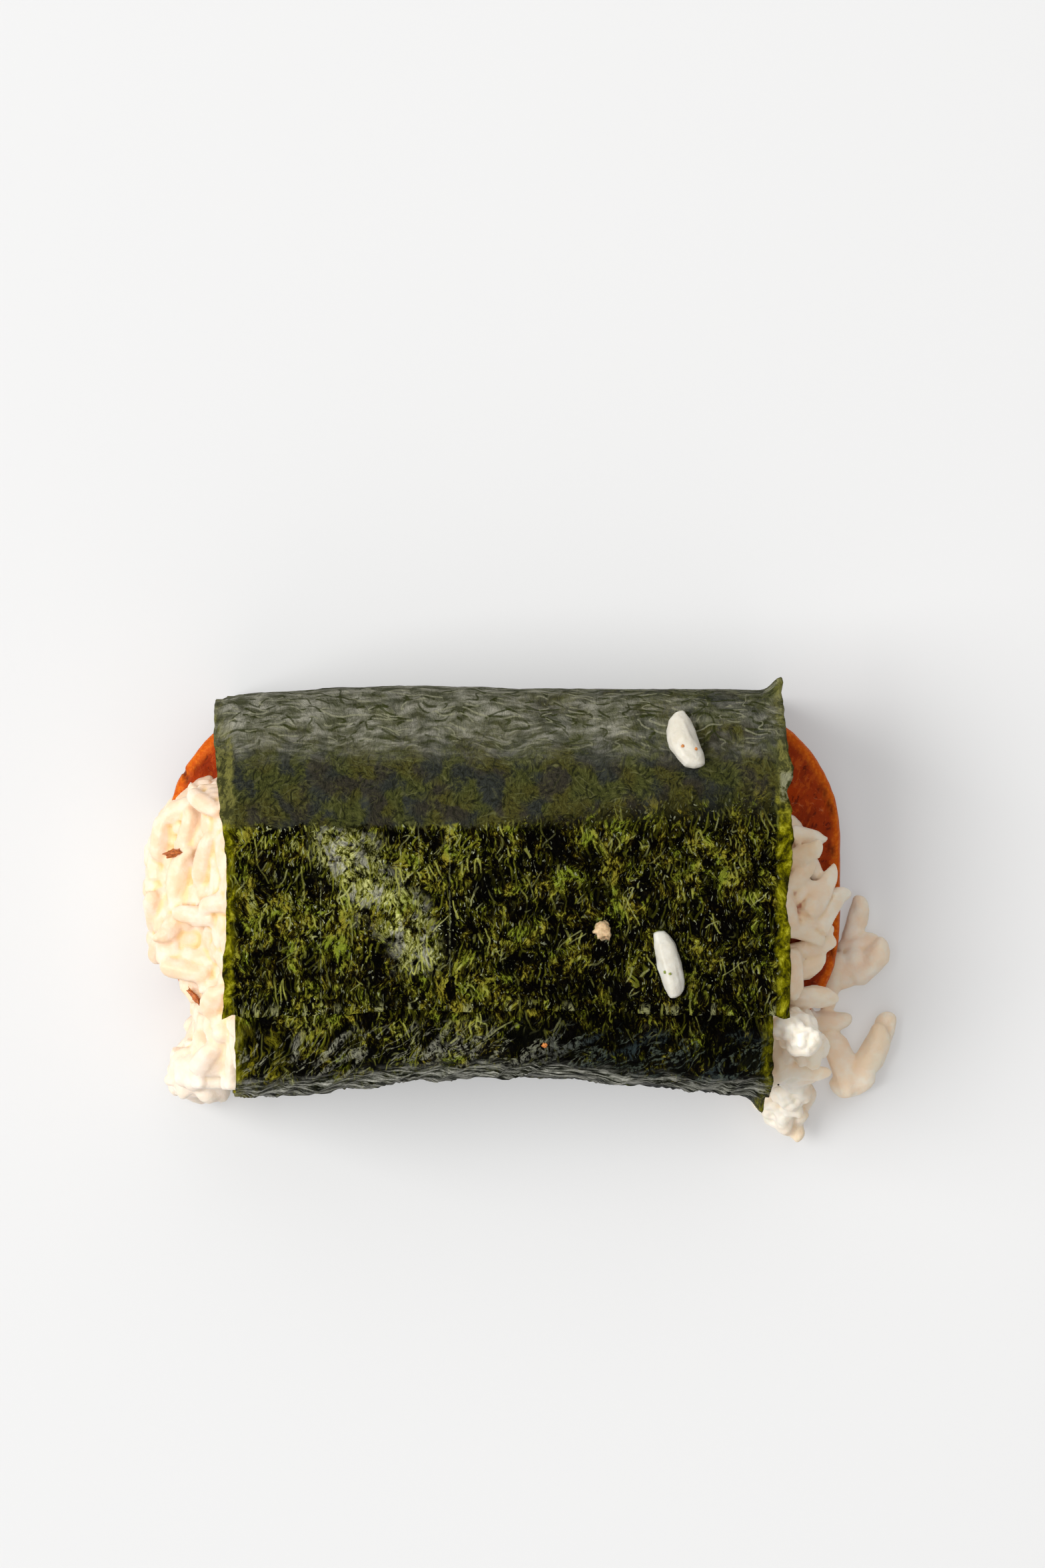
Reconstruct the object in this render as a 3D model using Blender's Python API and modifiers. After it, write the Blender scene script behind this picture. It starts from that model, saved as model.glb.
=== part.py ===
"""A luncheon meat musubi, lying meat side down.

A slice of luncheon meat is underneath, a pressed block of cooked rice lies on it, and one
strip of nori is wound round both and lapped on top. Rice has crumbled out of both ends.
Metres, +Z up. +X runs along the slice, and the nori's outer end points to -Y.
The origin is on the resting surface, under the middle of the whole."""

import math
import random

import bmesh
import bpy
import numpy as np
from mathutils import Matrix, Vector, noise
from mathutils.bvhtree import BVHTree

MM = 0.001
CLEARANCE = 0.0003

# The slice of luncheon meat, cut across a rounded tin.
SLICE_LENGTH = 0.095
SLICE_WIDTH = 0.0505
SLICE_THICKNESS = 0.0095
SLICE_CORNER = 0.0187
SLICE_EDGE = 0.0011
SLICE_CORNER_STEPS = 9
SLICE_EDGE_STEPS = 2

# The nori strip. Its middle line is a rounded rectangle in the Y-Z plane.
NORI_THICKNESS = 0.0005
NEAR_DEPTH = 0.0265
FAR_DEPTH = 0.0258
NEAR_TOP_RADIUS = 0.0075
FAR_TOP_RADIUS = 0.0060
BOTTOM_RADIUS = 0.0016
INNER_END_Y = 0.0078
FLAP_END_Y = -0.0171
LAP_STEP = NORI_THICKNESS + CLEARANCE
ROW_SPACING = 0.0052
ROWS_IN_ARC = 4
NORI_COLUMNS = 16
WAVE_HEIGHT = 0.0004
WAVE_LENGTH = 0.019
OFF_THE_GROUND = (0.002, 0.014)
FLAT_HALF = 0.010

# Depths of the near and far walls, at places along X.
NEAR_OUTLINE_X = [v * MM for v in (-38, -28, -20, -15, -5, 2, 10, 17, 26, 33, 38)]
NEAR_OUTLINE = [v * MM for v in (29.0, 28.6, 27.6, 26.9, 26.5, 26.4, 26.7, 27.6, 28.2, 28.8, 29.1)]
FAR_OUTLINE_X = [v * MM for v in (-38.5, -36, -12, 0, 13, 38)]
FAR_OUTLINE = [v * MM for v in (24.3, 25.1, 26.1, 25.8, 25.6, 25.4)]

# How wide the ragged points of the strip's right edge are, along it and across it.
SPIKE_SPREAD = 0.0022
SPIKE_COLUMN = 0.0018

# Heights in the stack, from the resting surface up.
SLICE_BASE = NORI_THICKNESS + CLEARANCE
SLICE_TOP = SLICE_BASE + SLICE_THICKNESS
RICE_BASE = SLICE_TOP + CLEARANCE
RICE_TOP = 0.0312
WRAP_TOP = 0.0324

# The rice block: its section, and how far its two ends reach at the top and at the foot.
RICE_HALF_DEPTH = 0.0249
RICE_SQUARENESS = 0.38
RICE_RING_SIDES = 22
RICE_RINGS = 12
CAP_SHARES = (0.30, 0.62, 0.86, 1.0)
LEFT_TOP, LEFT_FOOT = 0.0380, 0.0458
RIGHT_TOP, RIGHT_FOOT = 0.0376, 0.0412
LEFT_NEAR_TRIM, RIGHT_NEAR_TRIM = 0.0052, 0.0012
LEFT_NEAR_END, RIGHT_NEAR_END = (0.010, 0.016), (0.018, 0.024)
LEFT_FAR_END, RIGHT_FAR_END = (0.0125, 0.0170), (0.0095, 0.0135)
END_CURVE = 0.9
UNDER_NORI = 0.0345
COVERED = 0.0362
WRAP_EDGE = 0.0385

# One cooked grain.
GRAIN_LENGTH = 0.0082
GRAIN_WIDTH = 0.0030
GRAIN_THICKNESS = 0.0026
GRAIN_SIDES = 6
GRAIN_RINGS = 4
GRAIN_FULLNESS = 0.50
GRAIN_BLUNTNESS = 0.78
GRAIN_SINK = 0.0005
FACE_GRAIN_SINK = 0.0011
FACE_SPACING = 0.0043
FACE_TRIES = 3200
STEEPEST_LIE = 0.9

# The loose rice stays below a surface that falls away from the nori and from the slice.
CEILING_AT_WRAP = 0.0290
CEILING_START = 0.0385
CEILING_FALL = 1.35
CEILING_AT_CORNER = 0.0240
CORNER_START = 0.019
NEAR_FALL = 1.35
FLOOR_HEAP = 0.0030
SEED = 13

# Slumped rice beside the slice: centre and radii in millimetres.
MOUNDS = (
    ((-42.0, -23.5, 4.0), (4.4, 6.4, 12.5)),
    ((-42.5, -27.0, 2.0), (4.2, 4.2, 7.0)),
    ((-46.6, -0.5, 3.0), (3.6, 12.5, 10.5)),
    ((39.6, -23.0, 5.0), (3.6, 6.5, 15.0)),
    ((39.8, -30.0, 2.0), (2.8, 5.5, 6.5)),
)

# Grains seen from above: X and Y in millimetres, heading in degrees, length, width.
FLOOR_GRAINS = (
    (45.2, -19.9, 0, 8.4, 3.2), (48.9, -19.7, 3, 7.0, 3.2), (46.7, -14.6, 77, 9.0, 3.2),
    (50.6, -9.3, 10, 7.0, 3.2), (51.5, -11.8, 45, 8.6, 3.6), (49.9, -5.0, 70, 8.6, 3.3),
    (46.6, -25.2, -72, 9.6, 3.4), (50.7, -26.4, 68, 10.0, 3.7), (53.2, -21.2, -33, 5.8, 3.3),
    (48.4, -13.6, 30, 6.0, 3.0),
)
RIGHT_GRAINS = (
    (42.4, -2.6, 10, 7.5, 3.0), (42.6, -6.4, -12, 7.5, 3.0),
    (40.6, 8.6, -58, 6.4, 3.0), (43.0, 4.9, -5, 8.8, 3.0), (41.2, 7.6, -55, 7.0, 2.9),
    (42.9, 1.8, -55, 7.6, 2.9), (41.0, 0.6, 50, 7.6, 2.9), (41.4, -2.1, 35, 7.0, 3.0),
    (41.2, -5.3, -10, 6.6, 2.8), (41.6, -7.3, -15, 7.4, 2.9), (42.7, -9.4, 15, 8.2, 2.9),
    (42.1, -12.0, 25, 7.4, 2.8), (43.4, -16.4, 0, 7.4, 3.4), (42.4, -22.2, -30, 8.0, 3.2),
    (39.0, -26.9, 80, 7.8, 3.0), (42.0, -26.2, -10, 7.6, 2.8), (40.9, -29.0, -45, 7.4, 3.2),
    (39.5, -31.8, -20, 6.4, 3.4), (40.1, -34.2, -50, 7.0, 2.8), (44.5, -1.4, 62, 8.0, 3.0),
    (46.0, -4.2, 60, 8.2, 3.0), (41.8, 4.0, 25, 7.2, 3.0), (40.4, -12.6, -85, 8.8, 2.7),
    (39.9, -3.8, -70, 5.6, 2.4), (40.3, -20.6, -30, 7.6, 3.6),
)
LEFT_GRAINS = (
    (-49.3, 3.4, 84, 8.6, 3.0), (-50.2, -4.6, 96, 8.0, 3.0), (-49.0, -9.3, 60, 8.4, 3.0),
    (-47.2, 7.9, 80, 8.6, 3.0),
    (-44.2, 12.6, 20, 7.0, 3.2), (-41.8, 13.4, -35, 7.2, 3.0), (-43.9, 6.5, 75, 8.4, 2.9),
    (-45.6, -14.2, -20, 7.4, 3.0), (-42.4, -15.6, 40, 7.2, 3.0), (-45.6, -5.2, 55, 8.8, 3.0),
    (-44.6, 0.9, 78, 8.8, 3.0), (-42.6, -4.6, -8, 8.0, 2.9), (-39.4, -3.3, 5, 7.2, 2.9),
    (-39.6, -18.6, 70, 7.0, 3.0), (-43.4, -29.2, 30, 6.8, 3.0), (-40.0, -30.2, -60, 6.8, 3.0),
    (-44.9, -25.8, 70, 7.2, 3.0), (-41.6, -27.4, 15, 7.6, 3.0), (-41.0, 3.0, 76, 9.6, 3.0),
    (-43.2, -11.1, -3, 8.4, 3.2), (-39.2, -14.8, -35, 6.8, 2.9), (-39.5, -21.2, 85, 7.8, 3.0),
    (-41.3, -24.6, 50, 7.4, 3.2),
)
NORI_GRAINS = ((24.9, 19.5, -70, 8.6, 4.0), (22.4, -10.85, -76, 9.4, 3.3))

NORI_COLOUR = (0.030, 0.042, 0.014, 1.0)
NORI_ROUGHNESS, RICE_ROUGHNESS, MEAT_ROUGHNESS = 0.38, 0.42, 0.40
RICE_COLOUR = (0.86, 0.79, 0.67, 1.0)
MEAT_COLOUR = (0.50, 0.115, 0.026, 1.0)


def smoothstep(low, high, value):
    share = min(max((value - low) / (high - low), 0.0), 1.0)
    return share * share * (3 - 2 * share)


def material(name, colour, roughness):
    made = bpy.data.materials.new(name)
    made.use_nodes = True
    shader = made.node_tree.nodes["Principled BSDF"]
    shader.inputs["Base Color"].default_value = colour
    shader.inputs["Roughness"].default_value = roughness
    shader.inputs["Metallic"].default_value = 0.0
    return made


def object_from(bm, name, collection):
    mesh = bpy.data.meshes.new(name)
    bm.to_mesh(mesh)
    bm.free()
    made = bpy.data.objects.new(name, mesh)
    collection.objects.link(made)
    return made


def apply_modifiers(thing):
    """Keeps the evaluated mesh and drops the modifiers that made it."""
    graph = bpy.context.evaluated_depsgraph_get()
    mesh = bpy.data.meshes.new_from_object(thing.evaluated_get(graph))
    thing.modifiers.clear()
    thing.data = mesh


def fuse(body, pieces, operation):
    """Joins a collection of closed pieces to a body, or cuts it by them, and removes them."""
    modifier = body.modifiers.new("fuse", "BOOLEAN")
    modifier.operation = operation
    modifier.operand_type = "COLLECTION"
    modifier.collection = pieces
    modifier.solver = "MANIFOLD"
    apply_modifiers(body)
    for piece in list(pieces.objects):
        bpy.data.objects.remove(piece)


def keep_largest(thing):
    """Removes every loose scrap that a cut has left beside the main piece."""
    bm = bmesh.new()
    bm.from_mesh(thing.data)
    unseen = set(bm.verts)
    islands = []
    while unseen:
        island = {unseen.pop()}
        edge_of_island = list(island)
        while edge_of_island:
            vertex = edge_of_island.pop()
            for edge in vertex.link_edges:
                other = edge.other_vert(vertex)
                if other in unseen:
                    unseen.discard(other)
                    island.add(other)
                    edge_of_island.append(other)
        islands.append(island)
    largest = max(islands, key=len)
    scraps = [v for v in bm.verts if v not in largest]
    bmesh.ops.delete(bm, geom=scraps, context="VERTS")
    bm.to_mesh(thing.data)
    bm.free()


# Luncheon meat


def slice_bmesh(grow):
    """The slice as a rounded slab, grown on every side."""
    bm = bmesh.new()
    bmesh.ops.create_cube(bm, size=1.0)
    size = (SLICE_LENGTH + 2 * grow, SLICE_WIDTH + 2 * grow, SLICE_THICKNESS + 2 * grow)
    bmesh.ops.scale(bm, vec=size, verts=bm.verts)
    uprights = [e for e in bm.edges if abs(e.verts[0].co.z - e.verts[1].co.z) > 1e-6]
    bmesh.ops.bevel(
        bm, geom=uprights, offset=SLICE_CORNER + grow, offset_type="OFFSET",
        segments=SLICE_CORNER_STEPS, profile=0.5, affect="EDGES", material=-1,
    )
    rims = [e for e in bm.edges if abs(e.verts[0].co.z - e.verts[1].co.z) < 1e-6]
    bmesh.ops.bevel(
        bm, geom=rims, offset=SLICE_EDGE, offset_type="OFFSET",
        segments=SLICE_EDGE_STEPS, profile=0.5, affect="EDGES", material=-1,
    )
    bmesh.ops.translate(bm, vec=(0, 0, SLICE_BASE + SLICE_THICKNESS / 2), verts=bm.verts)
    return bm


def inside_slice(x, y, grow):
    """Whether a point seen from above lies over the slice, grown by a distance."""
    past_x = max(abs(x) - (SLICE_LENGTH / 2 - SLICE_CORNER), 0.0)
    past_y = max(abs(y) - (SLICE_WIDTH / 2 - SLICE_CORNER), 0.0)
    return math.hypot(past_x, past_y) < SLICE_CORNER + grow


# Nori


def wrap_pieces():
    """The strip's middle line as lines and arcs, from the inner end to the flap's end."""
    near, far, low = -NEAR_DEPTH, FAR_DEPTH, NORI_THICKNESS / 2
    near_top, far_top, foot = NEAR_TOP_RADIUS, FAR_TOP_RADIUS, BOTTOM_RADIUS
    return [
        ("line", (INNER_END_Y, WRAP_TOP), (near + near_top, WRAP_TOP)),
        ("arc", (near + near_top, WRAP_TOP - near_top), near_top, 90),
        ("line", (near, WRAP_TOP - near_top), (near, low + foot)),
        ("arc", (near + foot, low + foot), foot, 180),
        ("line", (near + foot, low), (far - foot, low)),
        ("arc", (far - foot, low + foot), foot, 270),
        ("line", (far, low + foot), (far, WRAP_TOP - far_top)),
        ("arc", (far - far_top, WRAP_TOP - far_top), far_top, 0),
        ("line", (far - far_top, WRAP_TOP), (FLAP_END_Y, WRAP_TOP)),
    ]


def piece_length(piece):
    if piece[0] == "line":
        return math.dist(piece[1], piece[2])
    return piece[2] * math.pi / 2


def row_places():
    """Places of the strip's rows: close on the corners, wider on the flats."""
    places = [0.0]
    for piece in PIECES:
        length = piece_length(piece)
        steps = ROWS_IN_ARC if piece[0] == "arc" else max(round(length / ROW_SPACING), 1)
        start = places[-1]
        places += [start + length * (i + 1) / steps for i in range(steps)]
    return places


PIECES = wrap_pieces()
REACHES = np.concatenate([[0.0], np.cumsum([piece_length(p) for p in PIECES])])
STRIP_LENGTH = REACHES[-1]
NEAR_CORNER, NEAR_SIDE, UNDERSIDE, FAR_SIDE, FAR_CORNER = (
    (REACHES[i] + REACHES[i + 1]) / 2 for i in (1, 2, 4, 6, 7)
)
FAR_FOOT, ON_TOP_AGAIN = REACHES[5], REACHES[8]

# Two ragged points where the strip's right edge turns out: place along it, and height.
SPIKES = ((FAR_CORNER - 0.003, 0.0022), (NEAR_CORNER + 0.010, 0.0030))

# Where the strip's two cut edges run, at places along it.
EDGE_PLACES = (
    0, NEAR_CORNER, NEAR_SIDE, UNDERSIDE, FAR_SIDE, FAR_CORNER,
    ON_TOP_AGAIN + 0.005, ON_TOP_AGAIN + 0.012, ON_TOP_AGAIN + 0.026, STRIP_LENGTH,
)
LEFT_EDGE = [
    v * MM for v in (-36.4, -36.3, -37.8, -38.5, -39.3, -39.3, -38.9, -37.9, -37.6, -38.1)
]
RIGHT_EDGE = [
    v * MM for v in (36.2, 36.8, 35.2, 36.6, 38.0, 38.1, 39.4, 39.0, 38.6, 39.1)
]


def middle_line(place):
    """The point of the strip's middle line at a length along it, and its outward normal."""
    index = min(int(np.searchsorted(REACHES, place, side="right")) - 1, len(PIECES) - 1)
    piece = PIECES[index]
    into = place - REACHES[index]
    if piece[0] == "line":
        (y0, z0), (y1, z1) = piece[1], piece[2]
        length = piece_length(piece)
        along = ((y1 - y0) / length, (z1 - z0) / length)
        return (y0 + along[0] * into, z0 + along[1] * into), (along[1], -along[0])
    centre, radius, start = piece[1], piece[2], piece[3]
    angle = math.radians(start) + into / radius
    outward = (math.cos(angle), math.sin(angle))
    return (centre[0] + radius * outward[0], centre[1] + radius * outward[1]), outward


def nori_point(place, across):
    """A point of the strip's middle surface; across runs from 0 at the left edge to 1."""
    left = float(np.interp(place, EDGE_PLACES, LEFT_EDGE))
    right = float(np.interp(place, EDGE_PLACES, RIGHT_EDGE))
    x = left + (right - left) * across
    (y, z), outward = middle_line(place)
    lift = LAP_STEP * smoothstep(FAR_FOOT, FAR_SIDE, place)
    lifted = smoothstep(*OFF_THE_GROUND, z)
    wave = WAVE_HEIGHT * lifted * noise.noise(Vector((x, y, 0)) / WAVE_LENGTH)
    from_right = right - x
    for at, height in SPIKES:
        beside = ((place - at) / SPIKE_SPREAD) ** 2 + (from_right / SPIKE_COLUMN) ** 2
        lift += height * math.exp(-beside)
    y += outward[0] * (lift + wave)
    z += outward[1] * (lift + wave)
    near = float(np.interp(x, NEAR_OUTLINE_X, NEAR_OUTLINE)) - NEAR_DEPTH
    far = float(np.interp(x, FAR_OUTLINE_X, FAR_OUTLINE)) - FAR_DEPTH
    y -= near * smoothstep(FLAT_HALF, NEAR_DEPTH, -y) * lifted
    y += far * smoothstep(FLAT_HALF, FAR_DEPTH, y) * lifted
    return Vector((x, y, z))


def nori_strip(thickness, name, collection):
    """The wound strip as one thin closed solid."""
    places = row_places()
    bm = bmesh.new()
    bmesh.ops.create_grid(
        bm, x_segments=NORI_COLUMNS, y_segments=len(places) - 1, size=1.0,
    )
    for vertex in bm.verts:
        row = round((vertex.co.y + 1) / 2 * (len(places) - 1))
        across = (1 - math.cos((vertex.co.x + 1) / 2 * math.pi)) / 2
        vertex.co = nori_point(places[row], across)
    bmesh.ops.triangulate(bm, faces=bm.faces)
    strip = object_from(bm, name, collection)
    solidify = strip.modifiers.new("thickness", "SOLIDIFY")
    solidify.thickness = thickness
    solidify.offset = 0.0
    apply_modifiers(strip)
    return strip


# Rice


def left_reach(y, height_share):
    foot = LEFT_FOOT - LEFT_NEAR_TRIM * smoothstep(*LEFT_NEAR_END, -y)
    reach = foot + (LEFT_TOP - foot) * height_share**END_CURVE
    return reach + (UNDER_NORI - reach) * smoothstep(*LEFT_FAR_END, y)


def right_reach(y, height_share):
    foot = RIGHT_FOOT - RIGHT_NEAR_TRIM * smoothstep(*RIGHT_NEAR_END, -y)
    reach = foot + (RIGHT_TOP - foot) * height_share**END_CURVE
    return reach + (UNDER_NORI - reach) * smoothstep(*RIGHT_FAR_END, y)


def signed_power(value, power):
    return math.copysign(abs(value) ** power, value)


def rice_core(collection):
    """The pressed block: rings of a squared section, closed by sloping caps."""
    bm = bmesh.new()
    bmesh.ops.create_uvsphere(
        bm, u_segments=RICE_RING_SIDES, v_segments=RICE_RINGS, radius=1.0,
    )
    middle = (RICE_BASE + RICE_TOP) / 2
    half_height = (RICE_TOP - RICE_BASE) / 2
    caps = len(CAP_SHARES)
    for vertex in bm.verts:
        ring = round(math.acos(max(min(vertex.co.z, 1.0), -1.0)) / math.pi * RICE_RINGS)
        angle = math.atan2(vertex.co.y, vertex.co.x)
        from_end = min(ring, RICE_RINGS - ring)
        share = 0.0 if from_end == 0 else CAP_SHARES[min(from_end, caps) - 1]
        y = share * RICE_HALF_DEPTH * signed_power(math.cos(angle), RICE_SQUARENESS)
        rise = share * signed_power(math.sin(angle), RICE_SQUARENESS)
        left = -left_reach(y, (rise + 1) / 2)
        right = right_reach(y, (rise + 1) / 2)
        along = min(max((ring - caps) / (RICE_RINGS - 2 * caps), 0.0), 1.0)
        vertex.co = (right + (left - right) * along, y, middle + half_height * rise)
    return object_from(bm, "rice_block", collection)


def mound(centre, radii, collection):
    """A heap of slumped rice that stands on the resting surface."""
    bm = bmesh.new()
    bmesh.ops.create_icosphere(bm, subdivisions=2, radius=1.0)
    bmesh.ops.scale(bm, vec=Vector(radii) * MM, verts=bm.verts)
    bmesh.ops.translate(bm, vec=Vector(centre) * MM, verts=bm.verts)
    for vertex in bm.verts:
        vertex.co.z = max(vertex.co.z, 0.0)
    bmesh.ops.dissolve_degenerate(bm, dist=1e-6, edges=bm.edges)
    return object_from(bm, "mound", collection)


def grain(centre, along, up, length, width, thickness, collection):
    """One cooked grain, placed by its middle, its long direction and its upper side."""
    side = up.cross(along).normalized()
    up = along.cross(side)
    turn = Matrix((along, side, up)).transposed()
    bm = bmesh.new()
    bmesh.ops.create_uvsphere(
        bm, u_segments=GRAIN_SIDES, v_segments=GRAIN_RINGS, radius=1.0,
    )
    for vertex in bm.verts:
        across, over, end = vertex.co
        full = 1 + GRAIN_FULLNESS * end * end * (1 - end * end)
        reach = signed_power(end, GRAIN_BLUNTNESS) * length / 2
        local = Vector((reach, across * full * width / 2, over * full * thickness / 2))
        vertex.co = centre + turn @ local
    return object_from(bm, "grain", collection)


def surface_tree(things):
    """A search tree over the faces of several objects."""
    points, faces = [], []
    for thing in things:
        start = len(points)
        points += [v.co.copy() for v in thing.data.vertices]
        faces += [[start + i for i in p.vertices] for p in thing.data.polygons]
    return BVHTree.FromPolygons(points, faces)


def ceiling(x, y):
    """How high the loose rice rises at a place seen from above."""
    if abs(x) < COVERED:
        return math.inf
    outward = CEILING_AT_WRAP - CEILING_FALL * max(abs(x) - CEILING_START, 0.0)
    if y < -CORNER_START:
        outward = min(outward, CEILING_AT_CORNER - NEAR_FALL * (-y - CORNER_START))
    return max(outward, FLOOR_HEAP)


def face_grains(body, chance, collection):
    """Grains lying at random on the block's two ends and on the slumped heaps."""
    tree = surface_tree([body])
    taken = []
    for _ in range(FACE_TRIES):
        side = chance.choice((-1, 1))
        origin = Vector((side * 0.07, chance.uniform(-0.035, 0.026), chance.uniform(0, 0.032)))
        aim = Vector((-side, 0, -chance.uniform(0.0, 0.6)))
        turned = chance.uniform(0, math.pi)
        hit, normal, _, _ = tree.ray_cast(origin, aim)
        if hit is None or abs(hit.x) < COVERED or hit.z < GRAIN_THICKNESS / 2:
            continue
        if hit.z > ceiling(hit.x, hit.y) + GRAIN_THICKNESS / 2:
            continue
        if any((hit - other).length < FACE_SPACING for other in taken):
            continue
        taken.append(hit)
        flat = normal.orthogonal().normalized()
        along = (Matrix.Rotation(turned, 3, normal) @ flat).normalized()
        length = GRAIN_LENGTH * chance.uniform(0.85, 1.05)
        centre = hit + normal * (GRAIN_THICKNESS / 2 - FACE_GRAIN_SINK)
        lowest = GRAIN_THICKNESS / 2 + abs(along.z) * (length - GRAIN_THICKNESS) / 2
        centre.z = max(centre.z, lowest)
        grain(centre, along, normal, length, GRAIN_WIDTH, GRAIN_THICKNESS, collection)


def resting_grain(row, tree, collection, cover, on_slice):
    """Drops a grain on what lies below it and tilts it until both halves are held up."""
    x, y, length, width = (row[i] * MM for i in (0, 1, 3, 4))
    thickness = width * GRAIN_THICKNESS / GRAIN_WIDTH
    heading = math.radians(row[2])
    run = Vector((math.cos(heading), math.sin(heading), 0))
    stops = [length * share for share in (-0.42, -0.28, -0.14, 0.0, 0.14, 0.28, 0.42)]
    heights = []
    for stop in stops:
        x_at, y_at = x + run.x * stop, y + run.y * stop
        if abs(x_at) < cover:
            continue
        hit = tree.ray_cast(Vector((x_at, y_at, 0.1)), Vector((0, 0, -1)))[0]
        height = min(max(hit.z if hit else 0.0, 0.0), ceiling(x_at, y_at))
        if on_slice and inside_slice(x_at, y_at, CLEARANCE):
            height = max(height, RICE_BASE)
        below = thickness / 2 * math.sqrt(1 - (2 * stop / length) ** 2)
        heights.append((stop, height + below))
    best, lean = max(h for _, h in heights), 0.0
    lows = [pair for pair in heights if pair[0] <= 0]
    highs = [pair for pair in heights if pair[0] >= 0]
    if lows and highs:
        best = -1.0
        for s0, h0 in lows:
            for s1, h1 in highs:
                slope = (h1 - h0) / (s1 - s0) if s1 > s0 else 0.0
                slope = max(min(slope, STEEPEST_LIE), -STEEPEST_LIE)
                level = max(h0 - slope * s0, h1 - slope * s1)
                if level > best:
                    best, lean = level, slope
    along = Vector((run.x, run.y, lean)).normalized()
    centre = Vector((x, y, best - GRAIN_SINK))
    centre.z = max(centre.z, thickness / 2 + abs(along.z) * (length - thickness) / 2)
    return grain(centre, along, Vector((0, 0, 1)), length, width, thickness, collection)


def add_rice(parts, pieces):
    body = rice_core(parts)
    for centre, radii in MOUNDS:
        mound(centre, radii, pieces)
    fuse(body, pieces, "UNION")
    chance = random.Random(SEED)
    face_grains(body, chance, pieces)
    lying = []
    for row in FLOOR_GRAINS:
        lying.append(resting_grain(row, surface_tree(lying), pieces, 0.0, False))
    for row in RIGHT_GRAINS + LEFT_GRAINS:
        tree = surface_tree([body] + list(pieces.objects))
        resting_grain(row, tree, pieces, WRAP_EDGE, True)
    fuse(body, pieces, "UNION")
    return body


def main():
    for thing in list(bpy.data.objects):
        bpy.data.objects.remove(thing)
    scene = bpy.context.scene
    parts = bpy.data.collections.new("luncheon_meat_musubi")
    cutters = bpy.data.collections.new("cutters")
    pieces = bpy.data.collections.new("pieces")
    for collection in (parts, cutters, pieces):
        scene.collection.children.link(collection)

    rice = add_rice(parts, pieces)
    object_from(slice_bmesh(CLEARANCE), "slice_room", cutters)
    nori_strip(NORI_THICKNESS + 2 * CLEARANCE, "nori_room", cutters)
    fuse(rice, cutters, "DIFFERENCE")
    keep_largest(rice)

    nori = nori_strip(NORI_THICKNESS, "nori_wrap", parts)
    tree = surface_tree([nori])
    for row in NORI_GRAINS:
        resting_grain(row, tree, pieces, 0.0, False)
    fuse(nori, pieces, "UNION")

    meat = object_from(slice_bmesh(0.0), "luncheon_meat", parts)
    for collection in (cutters, pieces):
        bpy.data.collections.remove(collection)

    corners = [thing.matrix_world @ v.co for thing in (rice, nori, meat) for v in thing.data.vertices]
    middle_x = (min(c.x for c in corners) + max(c.x for c in corners)) / 2
    middle_y = (min(c.y for c in corners) + max(c.y for c in corners)) / 2
    lowest = min(c.z for c in corners)
    for thing, finish in (
        (rice, material("cooked_rice", RICE_COLOUR, RICE_ROUGHNESS)),
        (nori, material("nori", NORI_COLOUR, NORI_ROUGHNESS)),
        (meat, material("luncheon_meat", MEAT_COLOUR, MEAT_ROUGHNESS)),
    ):
        thing.data.transform(Matrix.Translation((-middle_x, -middle_y, -lowest)))
        thing.data.materials.clear()
        thing.data.materials.append(finish)


main()
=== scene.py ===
"""Dresses the luncheon meat musubi for its picture.

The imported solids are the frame: a slice of luncheon meat, a block of cooked rice on it and a
nori strip wound round both. Each is replaced by finely modelled pieces of the same size in
the same place. Positions are worked out from the middle of the slice, in metres, and every
piece is moved to where the solids lie when it is made."""

import math
import random

import bmesh
import bpy
import numpy as np
from mathutils import Matrix, Vector, noise
from mathutils.bvhtree import BVHTree


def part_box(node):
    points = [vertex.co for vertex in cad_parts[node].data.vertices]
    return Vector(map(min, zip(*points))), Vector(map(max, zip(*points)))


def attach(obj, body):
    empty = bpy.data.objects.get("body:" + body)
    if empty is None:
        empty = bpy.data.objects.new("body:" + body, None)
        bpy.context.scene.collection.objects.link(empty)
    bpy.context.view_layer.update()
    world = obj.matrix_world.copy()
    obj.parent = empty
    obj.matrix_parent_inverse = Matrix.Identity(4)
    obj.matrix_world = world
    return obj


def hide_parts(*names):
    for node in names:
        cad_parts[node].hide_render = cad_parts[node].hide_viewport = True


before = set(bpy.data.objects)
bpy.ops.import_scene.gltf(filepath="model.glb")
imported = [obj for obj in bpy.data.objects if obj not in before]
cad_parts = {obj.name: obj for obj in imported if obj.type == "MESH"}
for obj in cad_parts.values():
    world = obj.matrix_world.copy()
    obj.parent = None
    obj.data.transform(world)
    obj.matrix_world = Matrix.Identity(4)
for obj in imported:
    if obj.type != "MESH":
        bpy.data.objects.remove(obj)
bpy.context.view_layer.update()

MM = 0.001
CLEARANCE = 0.0003
DROP_HEIGHT = 0.1
DOWN = Vector((0, 0, -1))

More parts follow.
